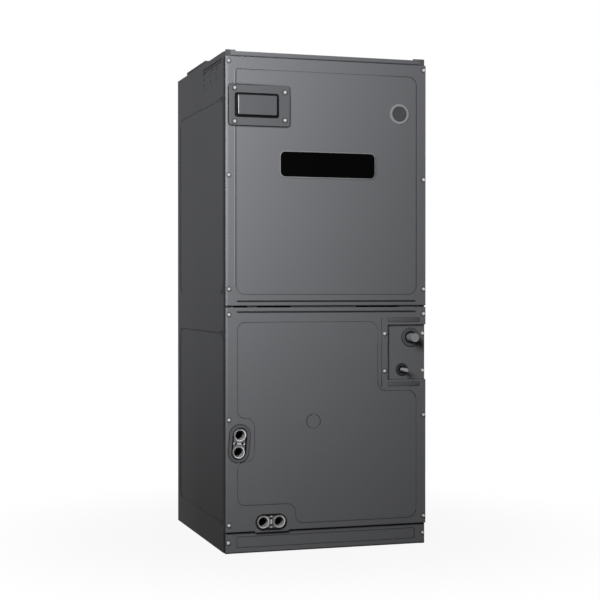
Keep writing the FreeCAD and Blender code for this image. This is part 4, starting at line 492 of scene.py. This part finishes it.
def mouldedPlastic(name, light, dull, rough, **changes):
    made = Finish(name)
    settings = {**plasticGrain, "rough": (rough, plasticGrain["span"]), **changes}
    colour = made.blend(made.noise(settings["cloud"], 2.0), tone(*dull), tone(*light))
    return made.surface(colour, made.noise(settings["grain"]), settings)


# lining, foam, card and filter cloth
fibre = {"stretch": (1, 1, 2.6), "hairRough": 0.7, "hairShare": 0.65, "cloud": 18.0, "rough": 0.86,
         "bump": (0.5, 0.0016), "specular": 0.2}


def fibreSheet(name, light, dull, scale=160.0, sheen=0.0):
    made = Finish(name)
    hair = made.noise(scale, 8.0, fibre["stretch"], fibre["hairRough"])
    share = fibre["hairShare"]
    mixed = hair * share + made.noise(fibre["cloud"]) * (1 - share)
    colour = made.blend(mixed, tone(*dull), tone(*light))
    return made.feed(colour=colour, rough=fibre["rough"], normal=made.bump(hair, *fibre["bump"]),
                     specular=fibre["specular"], sheen=sheen)


# sight glass: dusty window, and a ring with painted shade on its inner wall
windowTones = {"tint": tone(66, 67, 69), "dust": tone(96, 97, 99), "grain": 60.0, "rough": 0.12, "span": 0.1,
               "specular": 0.5}
ringTones = {**plasticGrain, "inside": 0.0197, "tone": tone(166, 167, 170), "dull": tone(154, 155, 158),
             "shade": tone(64, 65, 67), "rough": (0.45, 0.14)}


def sightWindow(name, settings):
    made = Finish(name)
    dust = made.noise(settings["grain"])
    return made.feed(colour=made.blend(dust, settings["tint"], settings["dust"]),
                     rough=settings["rough"] + dust * settings["span"], specular=settings["specular"])


def ringMoulding(name, box, settings):
    made = Finish(name)
    leather = made.noise(settings["grain"])
    across, up = made.axes()[::2]
    middle = halves(box)[0]
    # painted shade on the ring's inner wall
    inside = (across - middle.x).span(up - middle.z) < settings["inside"]
    colour = made.blend(inside, made.blend(leather, settings["dull"], settings["tone"]), settings["shade"])
    return made.surface(colour, leather, settings)


# raised blank with a painted highlight on its left-facing edges, in a black tray
blankTray = {"insetX": 0.0087, "insetZ": 0.0075, "edgeDepth": 0.0022, "leftHighlight": (-0.25, -0.75, 0.8),
             "tone": tone(93, 94, 97), "dull": tone(86, 87, 90), "edge": tone(236, 237, 240),
             "tray": tone(4, 4, 4), "grain": 420.0, "rough": (0.42, 0.12), "bump": (0.1, 0.0004),
             "specular": 0.3}


def blankMoulding(name, box, settings):
    made = Finish(name)
    leather = made.noise(settings["grain"])
    across, depth, up = made.axes()
    middle, half = halves(box)
    outX = abs(across - middle.x) / (half.x - settings["insetX"])
    outZ = abs(up - middle.z) / (half.z - settings["insetZ"])
    outside = (outX.most(outZ) > 1.0).most(depth > box[0][1] + settings["edgeDepth"])
    # painted highlight on the edges that face left
    leftHighlight = made.ramp(made.facing()[0], *settings["leftHighlight"])
    colour = made.blend(leather, settings["dull"], settings["tone"])
    colour = made.blend(leftHighlight, colour, settings["edge"])
    return made.surface(made.blend(outside, colour, settings["tray"]), leather, settings)


# copper inside, dull grey where the stub stands out in front; its end face has a tone of its own, painted
# light on the suction stub and painted shade on the liquid stub
stub = {**metalGrain, "front": -0.25, "end": -0.30285, "light": tone(214, 138, 98), "dull": tone(160, 92, 62),
        "stub": tone(140, 141, 144), "stubEnd": tone(158, 159, 162), "stubMetal": 0.0, "rough": (0.28, 0.14)}
liquidStub = {**stub, "stub": tone(226, 226, 228), "stubEnd": tone(196, 197, 199), "stubMetal": 0.35,
              "rough": (0.22, 0.14)}


def stubMetal(name, settings):
    made = Finish(name)
    streak = made.noise(settings["streak"], 4.0)
    depth = made.axes()[1]
    out = depth < settings["front"]
    inner = made.blend(made.noise(settings["stain"], 4.0), settings["dull"], settings["light"])
    # the end face in its own tone: painted light on the suction stub, painted shade on the liquid stub
    outer = made.blend(depth < settings["end"], settings["stub"], settings["stubEnd"])
    return made.surface(made.blend(out, inner, outer), streak, settings,
                        metal=1.0 - out * (1 - settings["stubMetal"]))


# green board with tracks, dark relays and a pale plug
boardTones = {"relay": 0.018, "relayFoot": 0.0004, "plugTop": 0.0195, "mask": tone(34, 104, 64),
              "maskDeep": tone(28, 92, 57), "track": tone(70, 140, 92), "trackScale": 90.0,
              "trackWidth": 0.03, "relayTone": tone(30, 32, 38), "plugTone": tone(222, 219, 206),
              "grain": 500.0, "rough": (0.36, 0.16), "bump": (0.08, 0.0003), "specular": 0.4}


def circuitBoard(name, box, settings):
    made = Finish(name)
    depth, up = made.axes()[1:]
    standing = depth < box[0][1] + settings["relay"] - settings["relayFoot"]
    low = up < box[0][2] + settings["plugTop"]
    track = made.node("ShaderNodeTexBrick", {"offset": 0.5}, {
        "Vector": made.coords((1, 0, 1)), "Scale": settings["trackScale"], "Color1": settings["mask"],
        "Color2": settings["maskDeep"], "Mortar": settings["track"], "Mortar Size": settings["trackWidth"]})
    body = made.blend(low, settings["relayTone"], settings["plugTone"])
    return made.surface(made.blend(standing, track, body), made.noise(settings["grain"], 2.0), settings)


# stacked steel sheets, with the taped winding in front
coreTones = {"winding": 0.0088, "steel": tone(140, 140, 142), "gap": tone(84, 83, 83),
             "tape": tone(206, 168, 74), "layers": 260.0, "waver": 0.3, "metal": 0.9,
             "rough": (0.42, 0.14), "bump": (0.2, 0.0004)}


def coreAndWinding(name, box, settings):
    made = Finish(name)
    depth = made.axes()[1]
    winding = depth < box[0][1] + settings["winding"]
    layers = made.node("ShaderNodeTexWave", {"bands_direction": "Y"}, {
        "Vector": made.coords(), "Scale": settings["layers"], "Distortion": settings["waver"]})
    steel = made.blend(layers, settings["gap"], settings["steel"])
    return made.surface(made.blend(winding, steel, settings["tape"]), layers, settings,
                        metal=settings["metal"] - winding * settings["metal"])


# drain ports: pale rims with a painted highlight to the right and below, on a greyer web with a pale bar
drainPorts = ((-0.1707, 0.0765), (-0.1293, 0.0765), (-0.2341, 0.2534), (-0.2307, 0.2955))
rimTones = {"ports": drainPorts, "rimBack": -0.2774, "rimFront": -0.2782, "rimEdge": 0.0163,
            "rim": tone(142, 142, 143), "edge": tone(255, 255, 255), "rimHighlight": (0.0122, 0.0132),
            "right": 0.8, "down": 0.6, "turned": (-0.008, 0.006), "sleeve": tone(112, 112, 113),
            "sleeveDull": tone(98, 98, 99), "bar": tone(226, 226, 227), "barHalf": 0.0021, "grain": 200.0,
            "rough": (0.28, 0.14), "bump": (0.1, 0.0004), "specular": 0.6}
gasketTones = {"sidePair": drainPorts[2:], "lip": 0.0192, "bottomPair": 0.13, "collar": tone(104, 105, 108),
               "collarDull": tone(94, 95, 98), "seal": tone(36, 36, 37),
               "grain": 300.0, "rough": (0.5, 0.14), "bump": (0.12, 0.0004), "specular": 0.2}


def portRims(name, settings):
    made = Finish(name)
    grain = made.noise(settings["grain"])
    across, depth, up = made.axes()
    ports, rimEdge = settings["ports"], settings["rimEdge"]
    away = [(across - x).span(up - z) for x, z in ports]
    nearest = away[0].least(away[1]).least(away[2].least(away[3]))
    # painted highlight on the rims' outer edges, to the right and below
    rimHighlight = made.ramp(nearest, *settings["rimHighlight"]) * (nearest < rimEdge)
    turned = 0.0
    for reach, (x, z) in zip(away, ports):
        towards = (across - x) * settings["right"] - (up - z) * settings["down"]
        turned = turned + (reach < rimEdge) * made.ramp(towards, *settings["turned"])
    rim = made.blend(rimHighlight * turned, settings["rim"], settings["edge"])
    sleeve = made.blend(grain, settings["sleeveDull"], settings["sleeve"])
    for (x, z), (nextX, nextZ) in (ports[:2], ports[2:]):
        apart = math.hypot(nextX - x, nextZ - z)
        along = ((across - (x + nextX) / 2) * (nextX - x) + (up - (z + nextZ) / 2) * (nextZ - z)) / apart
        sleeve = made.blend(abs(along) < settings["barHalf"], sleeve, settings["bar"])
    front = made.ramp(depth, settings["rimBack"], settings["rimFront"])
    return made.surface(made.blend(front, sleeve, rim), grain, settings)


def portGaskets(name, settings):  # grey collar at the side pair, black seal at the bottom pair
    made = Finish(name)
    grain = made.noise(settings["grain"])
    across, up = made.axes()[::2]
    (lowX, lowZ), (highX, highZ) = settings["sidePair"]
    middleX, middleZ, half = (lowX + highX) / 2, (lowZ + highZ) / 2, (highZ - lowZ) / 2
    slope = (highX - lowX) / (highZ - lowZ)
    sideways = across - middleX - (up - middleZ) * slope
    inner = sideways.span((abs(up - middleZ) - half).most(0.0)) < settings["lip"]
    collar = made.blend(grain, settings["collarDull"], settings["collar"])
    dark = inner.most(up < settings["bottomPair"])
    return made.surface(made.blend(dark, collar, settings["seal"]), grain, settings)


# bright screw heads, with painted light that makes them brighter to the right and towards the bottom, and
# painted shade where the hexagon meets its washer
zincTones = {"left": tone(190, 190, 191), "right": tone(255, 255, 255), "rightward": (-0.25, 0.25),
             "downward": (0.75, 0.1), "seat": tone(52, 52, 54), "reach": 0.003, "seatShade": (0.97, 0.7, 0.85),
             "streak": 160.0, "metal": 0.05, "rough": (0.3, 0.14), "bump": (0.06, 0.0004)}


def zincHeads(name, settings):
    made = Finish(name)
    across, up = made.axes()[::2]
    # painted light: brighter to the right and towards the bottom
    lit = made.ramp(across, *settings["rightward"]).most(made.ramp(up, *settings["downward"]))
    colour = made.blend(lit, settings["left"], settings["right"])
    # painted shade where the hexagon meets its washer
    seatShade = made.ramp(made.openness(settings["reach"]), *settings["seatShade"])
    colour = made.blend(seatShade, colour, settings["seat"])
    return made.surface(colour, made.noise(settings["streak"]), settings, metal=settings["metal"])


# finishes by the record's slots, then the nodes whose finish changes over the piece
plainFinishes = {
    "cabinet_paint": sheetPaint("cabinetPaint", paint),
    "plate_paint": sheetPaint("platePaint", toned(paint, (100, 101, 104), (94, 95, 98))),
    "galvanised": sheetZinc("galvanisedSheet", (172, 175, 178), (132, 135, 139), spangle),
    "lining": fibreSheet("wallLining", (82, 82, 84), (46, 46, 48)),
    "foam": fibreSheet("sealFoam", (48, 48, 49), (30, 30, 31), 420.0),
    "board": fibreSheet("filterCard", (206, 200, 184), (186, 178, 160), 90.0),
    "media": fibreSheet("pleatedCloth", (232, 234, 236), (206, 209, 213), 300.0, 0.2),
    "motor_paint": mouldedPlastic("motorEnamel", (46, 47, 50), (34, 34, 36), 0.4),
    "black_plastic": mouldedPlastic("blackMoulding", (42, 42, 44), (30, 30, 31), 0.45),
    "pan_plastic": mouldedPlastic("panMoulding", (52, 52, 54), (38, 38, 39), 0.5),
    "badge_black": mouldedPlastic("badgeGloss", (5, 5, 5), (2, 2, 2), 0.3, grain=80.0, specular=0.04),
    "motor_cast": drawnMetal("castCover", (176, 178, 181), (146, 148, 151), 0.5),
    "shaft_steel": drawnMetal("groundShaft", (188, 188, 191), (160, 160, 163), 0.22, (14, 1, 1)),
    "fin_aluminium": drawnMetal("finSheet", (206, 207, 209), (178, 179, 181), 0.34, (1, 30, 1)),
    "copper": drawnMetal("drawnCopper", (214, 138, 98), (160, 92, 62), 0.28),
    "valve_brass": drawnMetal("valveBrass", (214, 182, 112), (170, 138, 78), 0.3),
    "screw_zinc": zincHeads("zincPlate", zincTones),
    "gasket_grey": portGaskets("gasketGrey", gasketTones),
    "port_plastic": portRims("portMoulding", rimTones),
    "ring_plastic": ringMoulding("ringMoulding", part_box("sight_ring"), ringTones),
    "lens": sightWindow("sightWindow", windowTones),
}
grommet = {**paint, "creaseReach": 0.008, "creaseDepth": 0.85}
ownFinishes = {
    "upper_door": doorPaint("upperDoorPaint", paint, doorEdge,
                            quiet=[(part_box("sight_ring"), "ringClear", True),
                                   (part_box("badge_plate"), "plateClear", False)],
                            plates=[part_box("breaker_plate")]),
    "lower_door": doorPaint("lowerDoorPaint", paint, doorEdge, quiet=[(bottomPair, "plateClear", False)],
                            faded=softLines),
    "left_side_panel": sidePaint("leftWallPaint", shadedWallPaint, wallEdge),
    "right_side_panel": sidePaint("rightWallPaint", shadedWallPaint, evenEdge),
    "supply_flange": sheetPaint("flangePaint", toned(paint, (86, 87, 89), (80, 81, 83))),
    "tube_plate": sheetPaint("tubePlatePaint", {**paint, "creaseReach": 0.002, "creaseDepth": 0.7}),
    "suction_grommet": sheetPaint("suctionRubber", toned(grommet, (98, 99, 101), (88, 89, 91))),
    "liquid_grommet": sheetPaint("liquidRubber", toned(grommet, (64, 64, 66), (56, 56, 58))),
    "mid_rail": gapRail("midRailPaint", paint, midGapShade),
    "sill_rail": gapRail("sillRailPaint", paint, sillGapShade),
    "breaker_blank": blankMoulding("blankInTray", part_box("breaker_blank"), blankTray),
    "suction_line": stubMetal("suctionTube", stub),
    "liquid_line": stubMetal("liquidTube", liquidStub),
    "control_board": circuitBoard("boardAndRelays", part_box("control_board"), boardTones),
    "transformer": coreAndWinding("coreAndWinding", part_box("transformer"), coreTones),
}
for name, node in nodes.items():
    node.data.materials.clear()
    node.data.materials.append(ownFinishes.get(name) or plainFinishes[slotOf[name]])
print("finishes assigned:", len(plainFinishes) + len(ownFinishes))

# tools for the pieces modelled here
square = 0.9  # how squarely a face has to look along an axis
touch = 1e-6  # closer than this is the same place


def clearSelection():
    if bpy.context.mode != "OBJECT":
        bpy.ops.object.mode_set(mode="OBJECT")
    bpy.ops.object.select_all(action="DESELECT")


def named(name):  # the new primitive, with its place put in its mesh
    piece = bpy.context.object
    piece.name = name
    bpy.ops.object.transform_apply(location=True, rotation=True, scale=True)
    return piece


def startBlock(name, low, high):
    clearSelection()
    low, high = Vector(low), Vector(high)
    bpy.ops.mesh.primitive_cube_add(size=1, location=(low + high) / 2, scale=high - low)
    return named(name)


def startRod(name, at, radius, length, along, sides):
    turn = {"X": (0, math.pi / 2, 0), "Y": (math.pi / 2, 0, 0)}[along]
    clearSelection()
    bpy.ops.mesh.primitive_cylinder_add(vertices=sides, radius=radius, depth=length, location=at,
                                        rotation=turn)
    return named(name)


def only(piece):
    clearSelection()
    piece.select_set(True)
    bpy.context.view_layer.objects.active = piece


def choose(piece, kind, test):  # edit mode, with the wanted faces, edges or points selected
    only(piece)
    bpy.ops.object.mode_set(mode="EDIT")
    bpy.ops.mesh.select_mode(type=kind)
    bpy.ops.mesh.select_all(action="DESELECT")
    bpy.ops.object.mode_set(mode="OBJECT")
    points = piece.data.vertices
    if kind == "FACE":
        for face in piece.data.polygons:
            face.select = bool(test(face.center, face.normal))
    elif kind == "EDGE":
        for edge in piece.data.edges:
            edge.select = bool(test(points[edge.vertices[0]].co, points[edge.vertices[1]].co))
    else:
        for point in points:
            point.select = bool(test(point.co))
    bpy.ops.object.mode_set(mode="EDIT")


def every(point):
    return True


def atFront(centre, normal):  # faces that look to the front
    return normal.y < -square


def shove(offset):  # pulls the selected faces out by an offset
    bpy.ops.mesh.extrude_region_move(TRANSFORM_OT_translate={"value": offset})


def swell(distance):  # pulls the selected faces out along their normals
    bpy.ops.mesh.extrude_region_shrink_fatten(TRANSFORM_OT_shrink_fatten={"value": distance})


def stepFront(piece, inset, shift):  # insets the front face and moves it in or out
    choose(piece, "FACE", atFront)
    bpy.ops.mesh.inset(thickness=inset)
    shove((0, shift, 0))


def openRing(piece, axis, wall):  # turns a disc or plate into a frame of that wall
    choose(piece, "FACE", lambda centre, normal: abs(normal[axis]) > square)
    bpy.ops.mesh.inset(thickness=wall)
    bpy.ops.mesh.bridge_edge_loops()


def faceOut(piece):  # one skin, with its faces turned outwards
    choose(piece, "VERT", every)
    bpy.ops.mesh.remove_doubles(threshold=touch)
    bpy.ops.mesh.normals_make_consistent(inside=False)
    clearSelection()


def applied(piece, kind, **values):  # adds a modifier, sets it and applies it
    only(piece)
    tool = piece.modifiers.new(kind, kind)
    for key, value in values.items():
        setattr(tool, key, value)
    bpy.ops.object.modifier_apply(modifier=tool.name)


def softEdge(piece, width, steps=2):
    applied(piece, "BEVEL", width=width, segments=steps, limit_method="ANGLE", angle_limit=math.radians(40))


def repeat(piece, count, step):
    applied(piece, "ARRAY", count=count, use_relative_offset=False, use_constant_offset=True,
            constant_offset_displace=step)


def copyTo(piece, name, shift):  # a copy with its own mesh
    twin = piece.copy()
    twin.data = piece.data.copy()
    twin.name = name
    bpy.context.scene.collection.objects.link(twin)
    only(twin)
    twin.location = shift
    bpy.ops.object.transform_apply(location=True)
    return twin


def withCopies(piece, name, shifts):
    return [piece] + [copyTo(piece, name, shift) for shift in shifts]


def join(name, members):
    clearSelection()
    for member in members:
        member.select_set(True)
    bpy.context.view_layer.objects.active = members[0]
    bpy.ops.object.join()
    members[0].name = name
    return members[0]


def settle(piece, body, finish, stands=()):
    only(piece)
    bpy.ops.object.shade_smooth_by_angle(angle=math.radians(35))
    piece.data.materials.clear()
    piece.data.materials.append(finish)
    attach(piece, body)
    if stands:
        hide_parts(*stands)
    print("piece:", piece.name, len(piece.data.polygons), "faces")


# foam strips in the pressed pockets above and below the tube plate
notchStrips = {"across": (0.1622, 0.2486), "levels": ((0.4086, 0.4194), (0.5742, 0.585)), "floor": -0.2751,
               "skirt": -0.2754, "front": -0.2758, "lip": 0.0008, "edge": 0.0002}


def makeNotchStrips(settings):
    strips = []
    left, right = settings["across"]
    for low, high in settings["levels"]:
        strip = startBlock("notchStrip", (left, settings["skirt"], low), (right, settings["floor"], high))
        stepFront(strip, settings["lip"], settings["front"] - settings["skirt"])
        softEdge(strip, settings["edge"])
        strips.append(strip)
    foam = fibreSheet("stripFoam", (106, 106, 108), (94, 94, 96), 420.0)
    settle(join("notchStrips", strips), "lower_access_door", foam)


makeNotchStrips(notchStrips)

# lip under the two lower drain ports, over the gap to the filter door
portLip = {"across": (-0.1916, -0.1035), "front": -0.2765, "back": -0.2752, "lap": 0.004, "clear": 0.0004,
           "corner": 0.0014, "steps": 4, "edge": 0.0003, "creaseShade": 0.3}


def makePortLip(settings):
    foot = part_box("lower_door")[0][2]
    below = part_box("filter_door")[1][2] + settings["clear"]
    left, right = settings["across"]
    front, back = settings["front"], settings["back"]
    lip = startBlock("portLip", (left, front, below), (right, back, foot + settings["lap"]))
    choose(lip, "EDGE", lambda start, end: abs(start.y - end.y) > (back - front) / 2 and start.z > foot)
    bpy.ops.mesh.bevel(offset=settings["corner"], segments=settings["steps"])
    softEdge(lip, settings["edge"])
    lipPaint = sheetPaint("lipPaint", {**paint, "creaseDepth": settings["creaseShade"]})
    settle(lip, "lower_access_door", lipPaint)


makePortLip(portLip)

# thread cut in the bore of each drain insert
portThreads = {"ports": drainPorts, "front": -0.2776, "pitch": 0.0022, "turns": 11, "sides": 36,
               "root": 0.0121, "crest": 0.0113, "outer": 0.0126}


def makePortThreads(settings):
    x, z = settings["ports"][0]
    front, half = settings["front"], settings["pitch"] / 2
    centre = (x, front, z)
    clearSelection()
    bpy.ops.mesh.primitive_circle_add(vertices=settings["sides"], radius=settings["root"], location=centre,
                                      rotation=(math.pi / 2, 0, 0))
    thread = named("portThread")
    choose(thread, "VERT", every)

    def ring(grow):  # one more ring, half a pitch deeper
        shove((0, half, 0))
        bpy.ops.transform.resize(value=(grow, 1, grow), center_override=centre)

    closer = settings["crest"] / settings["root"]
    for turn in range(settings["turns"]):
        ring(closer)
        ring(1 / closer)
    ring(settings["outer"] / settings["root"])
    shove((0, -half * (2 * settings["turns"] + 1), 0))
    choose(thread, "EDGE", lambda start, end: max(abs(start.y - front), abs(end.y - front)) < touch)
    bpy.ops.mesh.bridge_edge_loops()
    faceOut(thread)
    shifts = [(nextX - x, 0, nextZ - z) for nextX, nextZ in settings["ports"][1:]]
    threads = withCopies(thread, "portThread", shifts)
    whiteBore = mouldedPlastic("threadMoulding", (146, 146, 146), (128, 128, 128), 0.3, grain=200.0,
                               specular=0.5)
    settle(join("portThreads", threads), "cabinet", whiteBore)


makePortThreads(portThreads)

# pale bead round the bare badge plate
badgeRim = {"proud": 0.0002, "grow": 0.0003, "depth": 0.0014, "corner": 0.0143, "steps": 8, "wall": 0.0021,
            "edge": 0.0003}


def makeBadgeRim(settings):
    low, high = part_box("badge_plate")
    grow = settings["grow"]
    front = low[1] - settings["proud"]
    rim = startBlock("badgeRim", (low[0] - grow, front, low[2] - grow),
                     (high[0] + grow, front + settings["depth"], high[2] + grow))
    choose(rim, "EDGE", lambda start, end: abs(start.y - end.y) > settings["depth"] / 2)
    bpy.ops.mesh.bevel(offset=settings["corner"], segments=settings["steps"])
    openRing(rim, 1, settings["wall"])
    faceOut(rim)
    softEdge(rim, settings["edge"])
    satin = drawnMetal("badgeBead", (150, 151, 154), (138, 139, 142), 0.4, metal=0.2)
    settle(rim, "upper_access_door", satin)


makeBadgeRim(badgeRim)

# corrugated fins of the two coil slabs
coilFins = {"thickness": 0.046, "apexGap": 0.005, "rise": 0.505, "sheet": 0.00035, "pitch": 0.002,
            "folds": 6, "ripple": 0.0005, "endGap": 0.0004}


def makeCoilFins(settings):
    low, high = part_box("coil_slabs")
    thick = settings["thickness"]
    footX = high[0]
    lean = math.atan((footX - thick - settings["apexGap"] / 2) / settings["rise"])
    length = (footX - thick * math.cos(lean) - settings["apexGap"] / 2) / math.sin(lean)
    footZ = low[2] + thick * math.sin(lean)
    front = low[1] + settings["endGap"] + settings["ripple"]
    fin = startBlock("coilFins", (-thick, front, 0), (0, front + settings["sheet"], length))
    for fold in range(1, settings["folds"]):
        choose(fin, "VERT", every)
        bpy.ops.mesh.bisect(plane_co=(-thick * fold / settings["folds"], 0, 0), plane_no=(1, 0, 0))
    step = thick / settings["folds"]
    choose(fin, "VERT", lambda point: round(-point.x / step) % 2 == 1)
    bpy.ops.transform.translate(value=(0, settings["ripple"], 0))
    clearSelection()
    room = high[1] - low[1] - 2 * (settings["endGap"] + settings["ripple"]) - settings["sheet"]
    repeat(fin, int(room / settings["pitch"]) + 1, (0, settings["pitch"], 0))
    fin.rotation_euler = (0, -lean, 0)
    fin.location = (footX, 0, footZ)
    bpy.ops.object.transform_apply(location=True, rotation=True)
    twin = copyTo(fin, "leftFins", (0, 0, 0))
    twin.scale = (-1, 1, 1)
    bpy.ops.object.transform_apply(scale=True)
    faceOut(twin)
    settle(join("coilFins", [fin, twin]), "cabinet", plainFinishes["fin_aluminium"],
           ["coil_slabs"])


makeCoilFins(coilFins)

# loose parts on the control board
boardParts = {"relay": 0.018, "cans": ((0.2, 0.42, 0.0055), (0.36, 0.42, 0.0055), (0.88, 0.5, 0.0075)),
              "canLength": 0.015, "canSides": 24, "chips": ((0.55, 0.38), (0.72, 0.38)),
              "chipSize": (0.012, 0.003, 0.017), "chipEdge": 0.0002, "fuse": (0.88, 0.78),
              "fuseSize": (0.006, 0.008, 0.016), "groove": 0.0012, "edge": 0.0006}


def makeBoardParts(settings):
    low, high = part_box("control_board")
    face = low[1] + settings["relay"]
    wide, tall = high[0] - low[0], high[2] - low[2]
    groove, edge = settings["groove"], settings["edge"]

    def seatShade(name, place, size):  # a block on the board, placed by its lower left corner
        corner = Vector((low[0] + wide * place[0], face - size[1], low[2] + tall * place[1]))
        return startBlock(name, corner, corner + Vector(size))

    cans = []
    for across, up, radius in settings["cans"]:
        length = settings["canLength"]
        at = (low[0] + wide * across, face - length / 2, low[2] + tall * up)
        can = startRod("boardCan", at, radius, length, "Y", settings["canSides"])
        stepFront(can, groove, groove / 2)
        softEdge(can, edge)
        cans.append(can)
    sleeve = mouldedPlastic("canSleeve", (36, 40, 58), (26, 29, 42), 0.3, grain=200.0, specular=0.5)
    settle(join("boardCans", cans), "cabinet", sleeve)
    chips = []
    for place in settings["chips"]:
        chip = seatShade("boardChip", place, settings["chipSize"])
        choose(chip, "FACE", lambda centre, normal: abs(normal.x) > square)
        bpy.ops.mesh.inset(thickness=groove)
        swell(groove)
        softEdge(chip, settings["chipEdge"])
        chips.append(chip)
    fuse = seatShade("boardFuse", settings["fuse"], settings["fuseSize"])
    stepFront(fuse, groove, -groove)
    softEdge(fuse, edge)
    chips.append(fuse)
    settle(join("boardChips", chips), "cabinet", plainFinishes["black_plastic"])


makeBoardParts(boardParts)

# clamp plates and slotted screws in the terminal block
clampScrews = {"count": 4, "plate": (0.0105, 0.0012, 0.017), "head": 0.0036, "rise": 0.0022, "sides": 20,
               "slot": 0.0009, "slotDepth": 0.001, "edge": 0.0004, "flat": 1e-5}


def makeClampScrews(settings):
    low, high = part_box("terminal_block")
    pitch = (high[0] - low[0]) / settings["count"]
    back = (low[1] + high[1]) / 2
    size = Vector(settings["plate"])
    middle = Vector((low[0] + pitch / 2, back, (low[2] + 3 * high[2]) / 4))
    inFront = middle - Vector((0, size.y / 2, 0))
    plate = startBlock("clampPlate", inFront - size / 2, inFront + size / 2)
    softEdge(plate, settings["edge"])
    seat, rise, halfSlot = back - size.y, settings["rise"], settings["slot"] / 2
    head = startRod("clampScrew", (middle.x, seat - rise / 2, middle.z), settings["head"], rise, "Y",
                    settings["sides"])
    softEdge(head, settings["edge"])
    for side in (-halfSlot, halfSlot):
        choose(head, "VERT", every)
        bpy.ops.mesh.bisect(plane_co=(middle.x, seat, middle.z + side), plane_no=(0, 0, 1))
    top = seat - rise + settings["flat"]
    choose(head, "FACE", lambda centre, normal: atFront(centre, normal) and centre.y < top
           and abs(centre.z - middle.z) < halfSlot)
    shove((0, settings["slotDepth"], 0))
    screw = join("clampScrews", [plate, head])
    faceOut(screw)
    shifts = [(pitch * number, 0, 0) for number in range(1, settings["count"])]
    screws = withCopies(screw, "clampScrew", shifts)
    settle(join("clampScrews", screws), "cabinet", plainFinishes["valve_brass"])


makeClampScrews(clampScrews)

# taped winding on its bobbin, over the front of the transformer's core
winding = {"block": 0.009, "grow": 0.0006, "setback": 0.0002, "round": 0.004, "steps": 4, "flange": 0.0016,
           "lip": 0.002, "edge": 0.0005}


def makeWinding(settings):
    low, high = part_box("transformer")
    inset, grow = settings["block"], settings["grow"]
    corner = (low[0] + inset - grow, low[1] + settings["setback"], low[2] + inset - grow)
    far = (high[0] - inset + grow, low[1] + inset + grow, high[2] - inset + grow)
    bobbin = startBlock("windingBobbin", corner, far)
    choose(bobbin, "EDGE", lambda start, end: abs(start.z - end.z) > inset and start.y < low[1] + inset / 2)
    bpy.ops.mesh.bevel(offset=settings["round"], segments=settings["steps"])
    choose(bobbin, "FACE", lambda centre, normal: abs(normal.z) > square)
    swell(settings["flange"])
    choose(bobbin, "FACE", lambda centre, normal: abs(normal.z) > square)
    bpy.ops.mesh.inset(thickness=settings["lip"])
    softEdge(bobbin, settings["edge"])
    tape = mouldedPlastic("windingTape", (214, 174, 76), (190, 150, 60), 0.4, grain=120.0, specular=0.5)
    settle(bobbin, "cabinet", tape)


makeWinding(winding)

# cooling ribs round the motor's control module
moduleRibs = {"outer": 0.0625, "wall": 0.004, "thick": 0.0018, "first": 0.004, "pitch": 0.0052, "count": 6,
              "sides": 64, "edge": 0.0004}


def makeModuleRibs(settings):
    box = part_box("motor_module")
    middle = halves(box)[0]
    at = (box[0][0] + settings["first"], middle.y, middle.z)
    rib = startRod("moduleRibs", at, settings["outer"], settings["thick"], "X", settings["sides"])
    openRing(rib, 0, settings["wall"])
    faceOut(rib)
    softEdge(rib, settings["edge"], 1)
    repeat(rib, settings["count"], (settings["pitch"], 0, 0))
    settle(rib, "cabinet", plainFinishes["motor_cast"])


makeModuleRibs(moduleRibs)

# hex washer-head screws of the heater cover and the control panel
panelScrews = {"washer": 0.0047, "washerRise": 0.001, "washerSides": 24, "hex": 0.0038, "hexRise": 0.0032,
               "edge": 0.0005, "washerEdge": 0.00025, "cover": (0.008, 0.008), "panel": (0.009, 0.03)}


def makePanelScrews(settings):
    places = []
    for (low, high), inset, footGap in ((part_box("heater_blank_plate"), *settings["cover"]),
                                        (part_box("control_panel"), *settings["panel"])):
        places += [(x, low[1], z) for x in (low[0] + inset, high[0] - inset)
                   for z in (low[2] + footGap, high[2] - inset)]
    first = Vector(places[0])
    thick, rise = settings["washerRise"], settings["hexRise"]
    washer = startRod("screwWasher", (first.x, first.y - thick / 2, first.z), settings["washer"], thick, "Y",
                      settings["washerSides"])
    softEdge(washer, settings["washerEdge"], 1)
    hexMiddle = (first.x, first.y - thick - rise / 2, first.z)
    head = startRod("screwHead", hexMiddle, settings["hex"], rise, "Y", 6)
    choose(head, "FACE", atFront)
    bpy.ops.mesh.bevel(offset=settings["edge"], segments=2)
    screw = join("panelScrews", [washer, head])
    clearSelection()
    screws = withCopies(screw, "panelScrew", [Vector(place) - first for place in places[1:]])
    settle(join("panelScrews", screws), "cabinet", plainFinishes["screw_zinc"])


makePanelScrews(panelScrews)
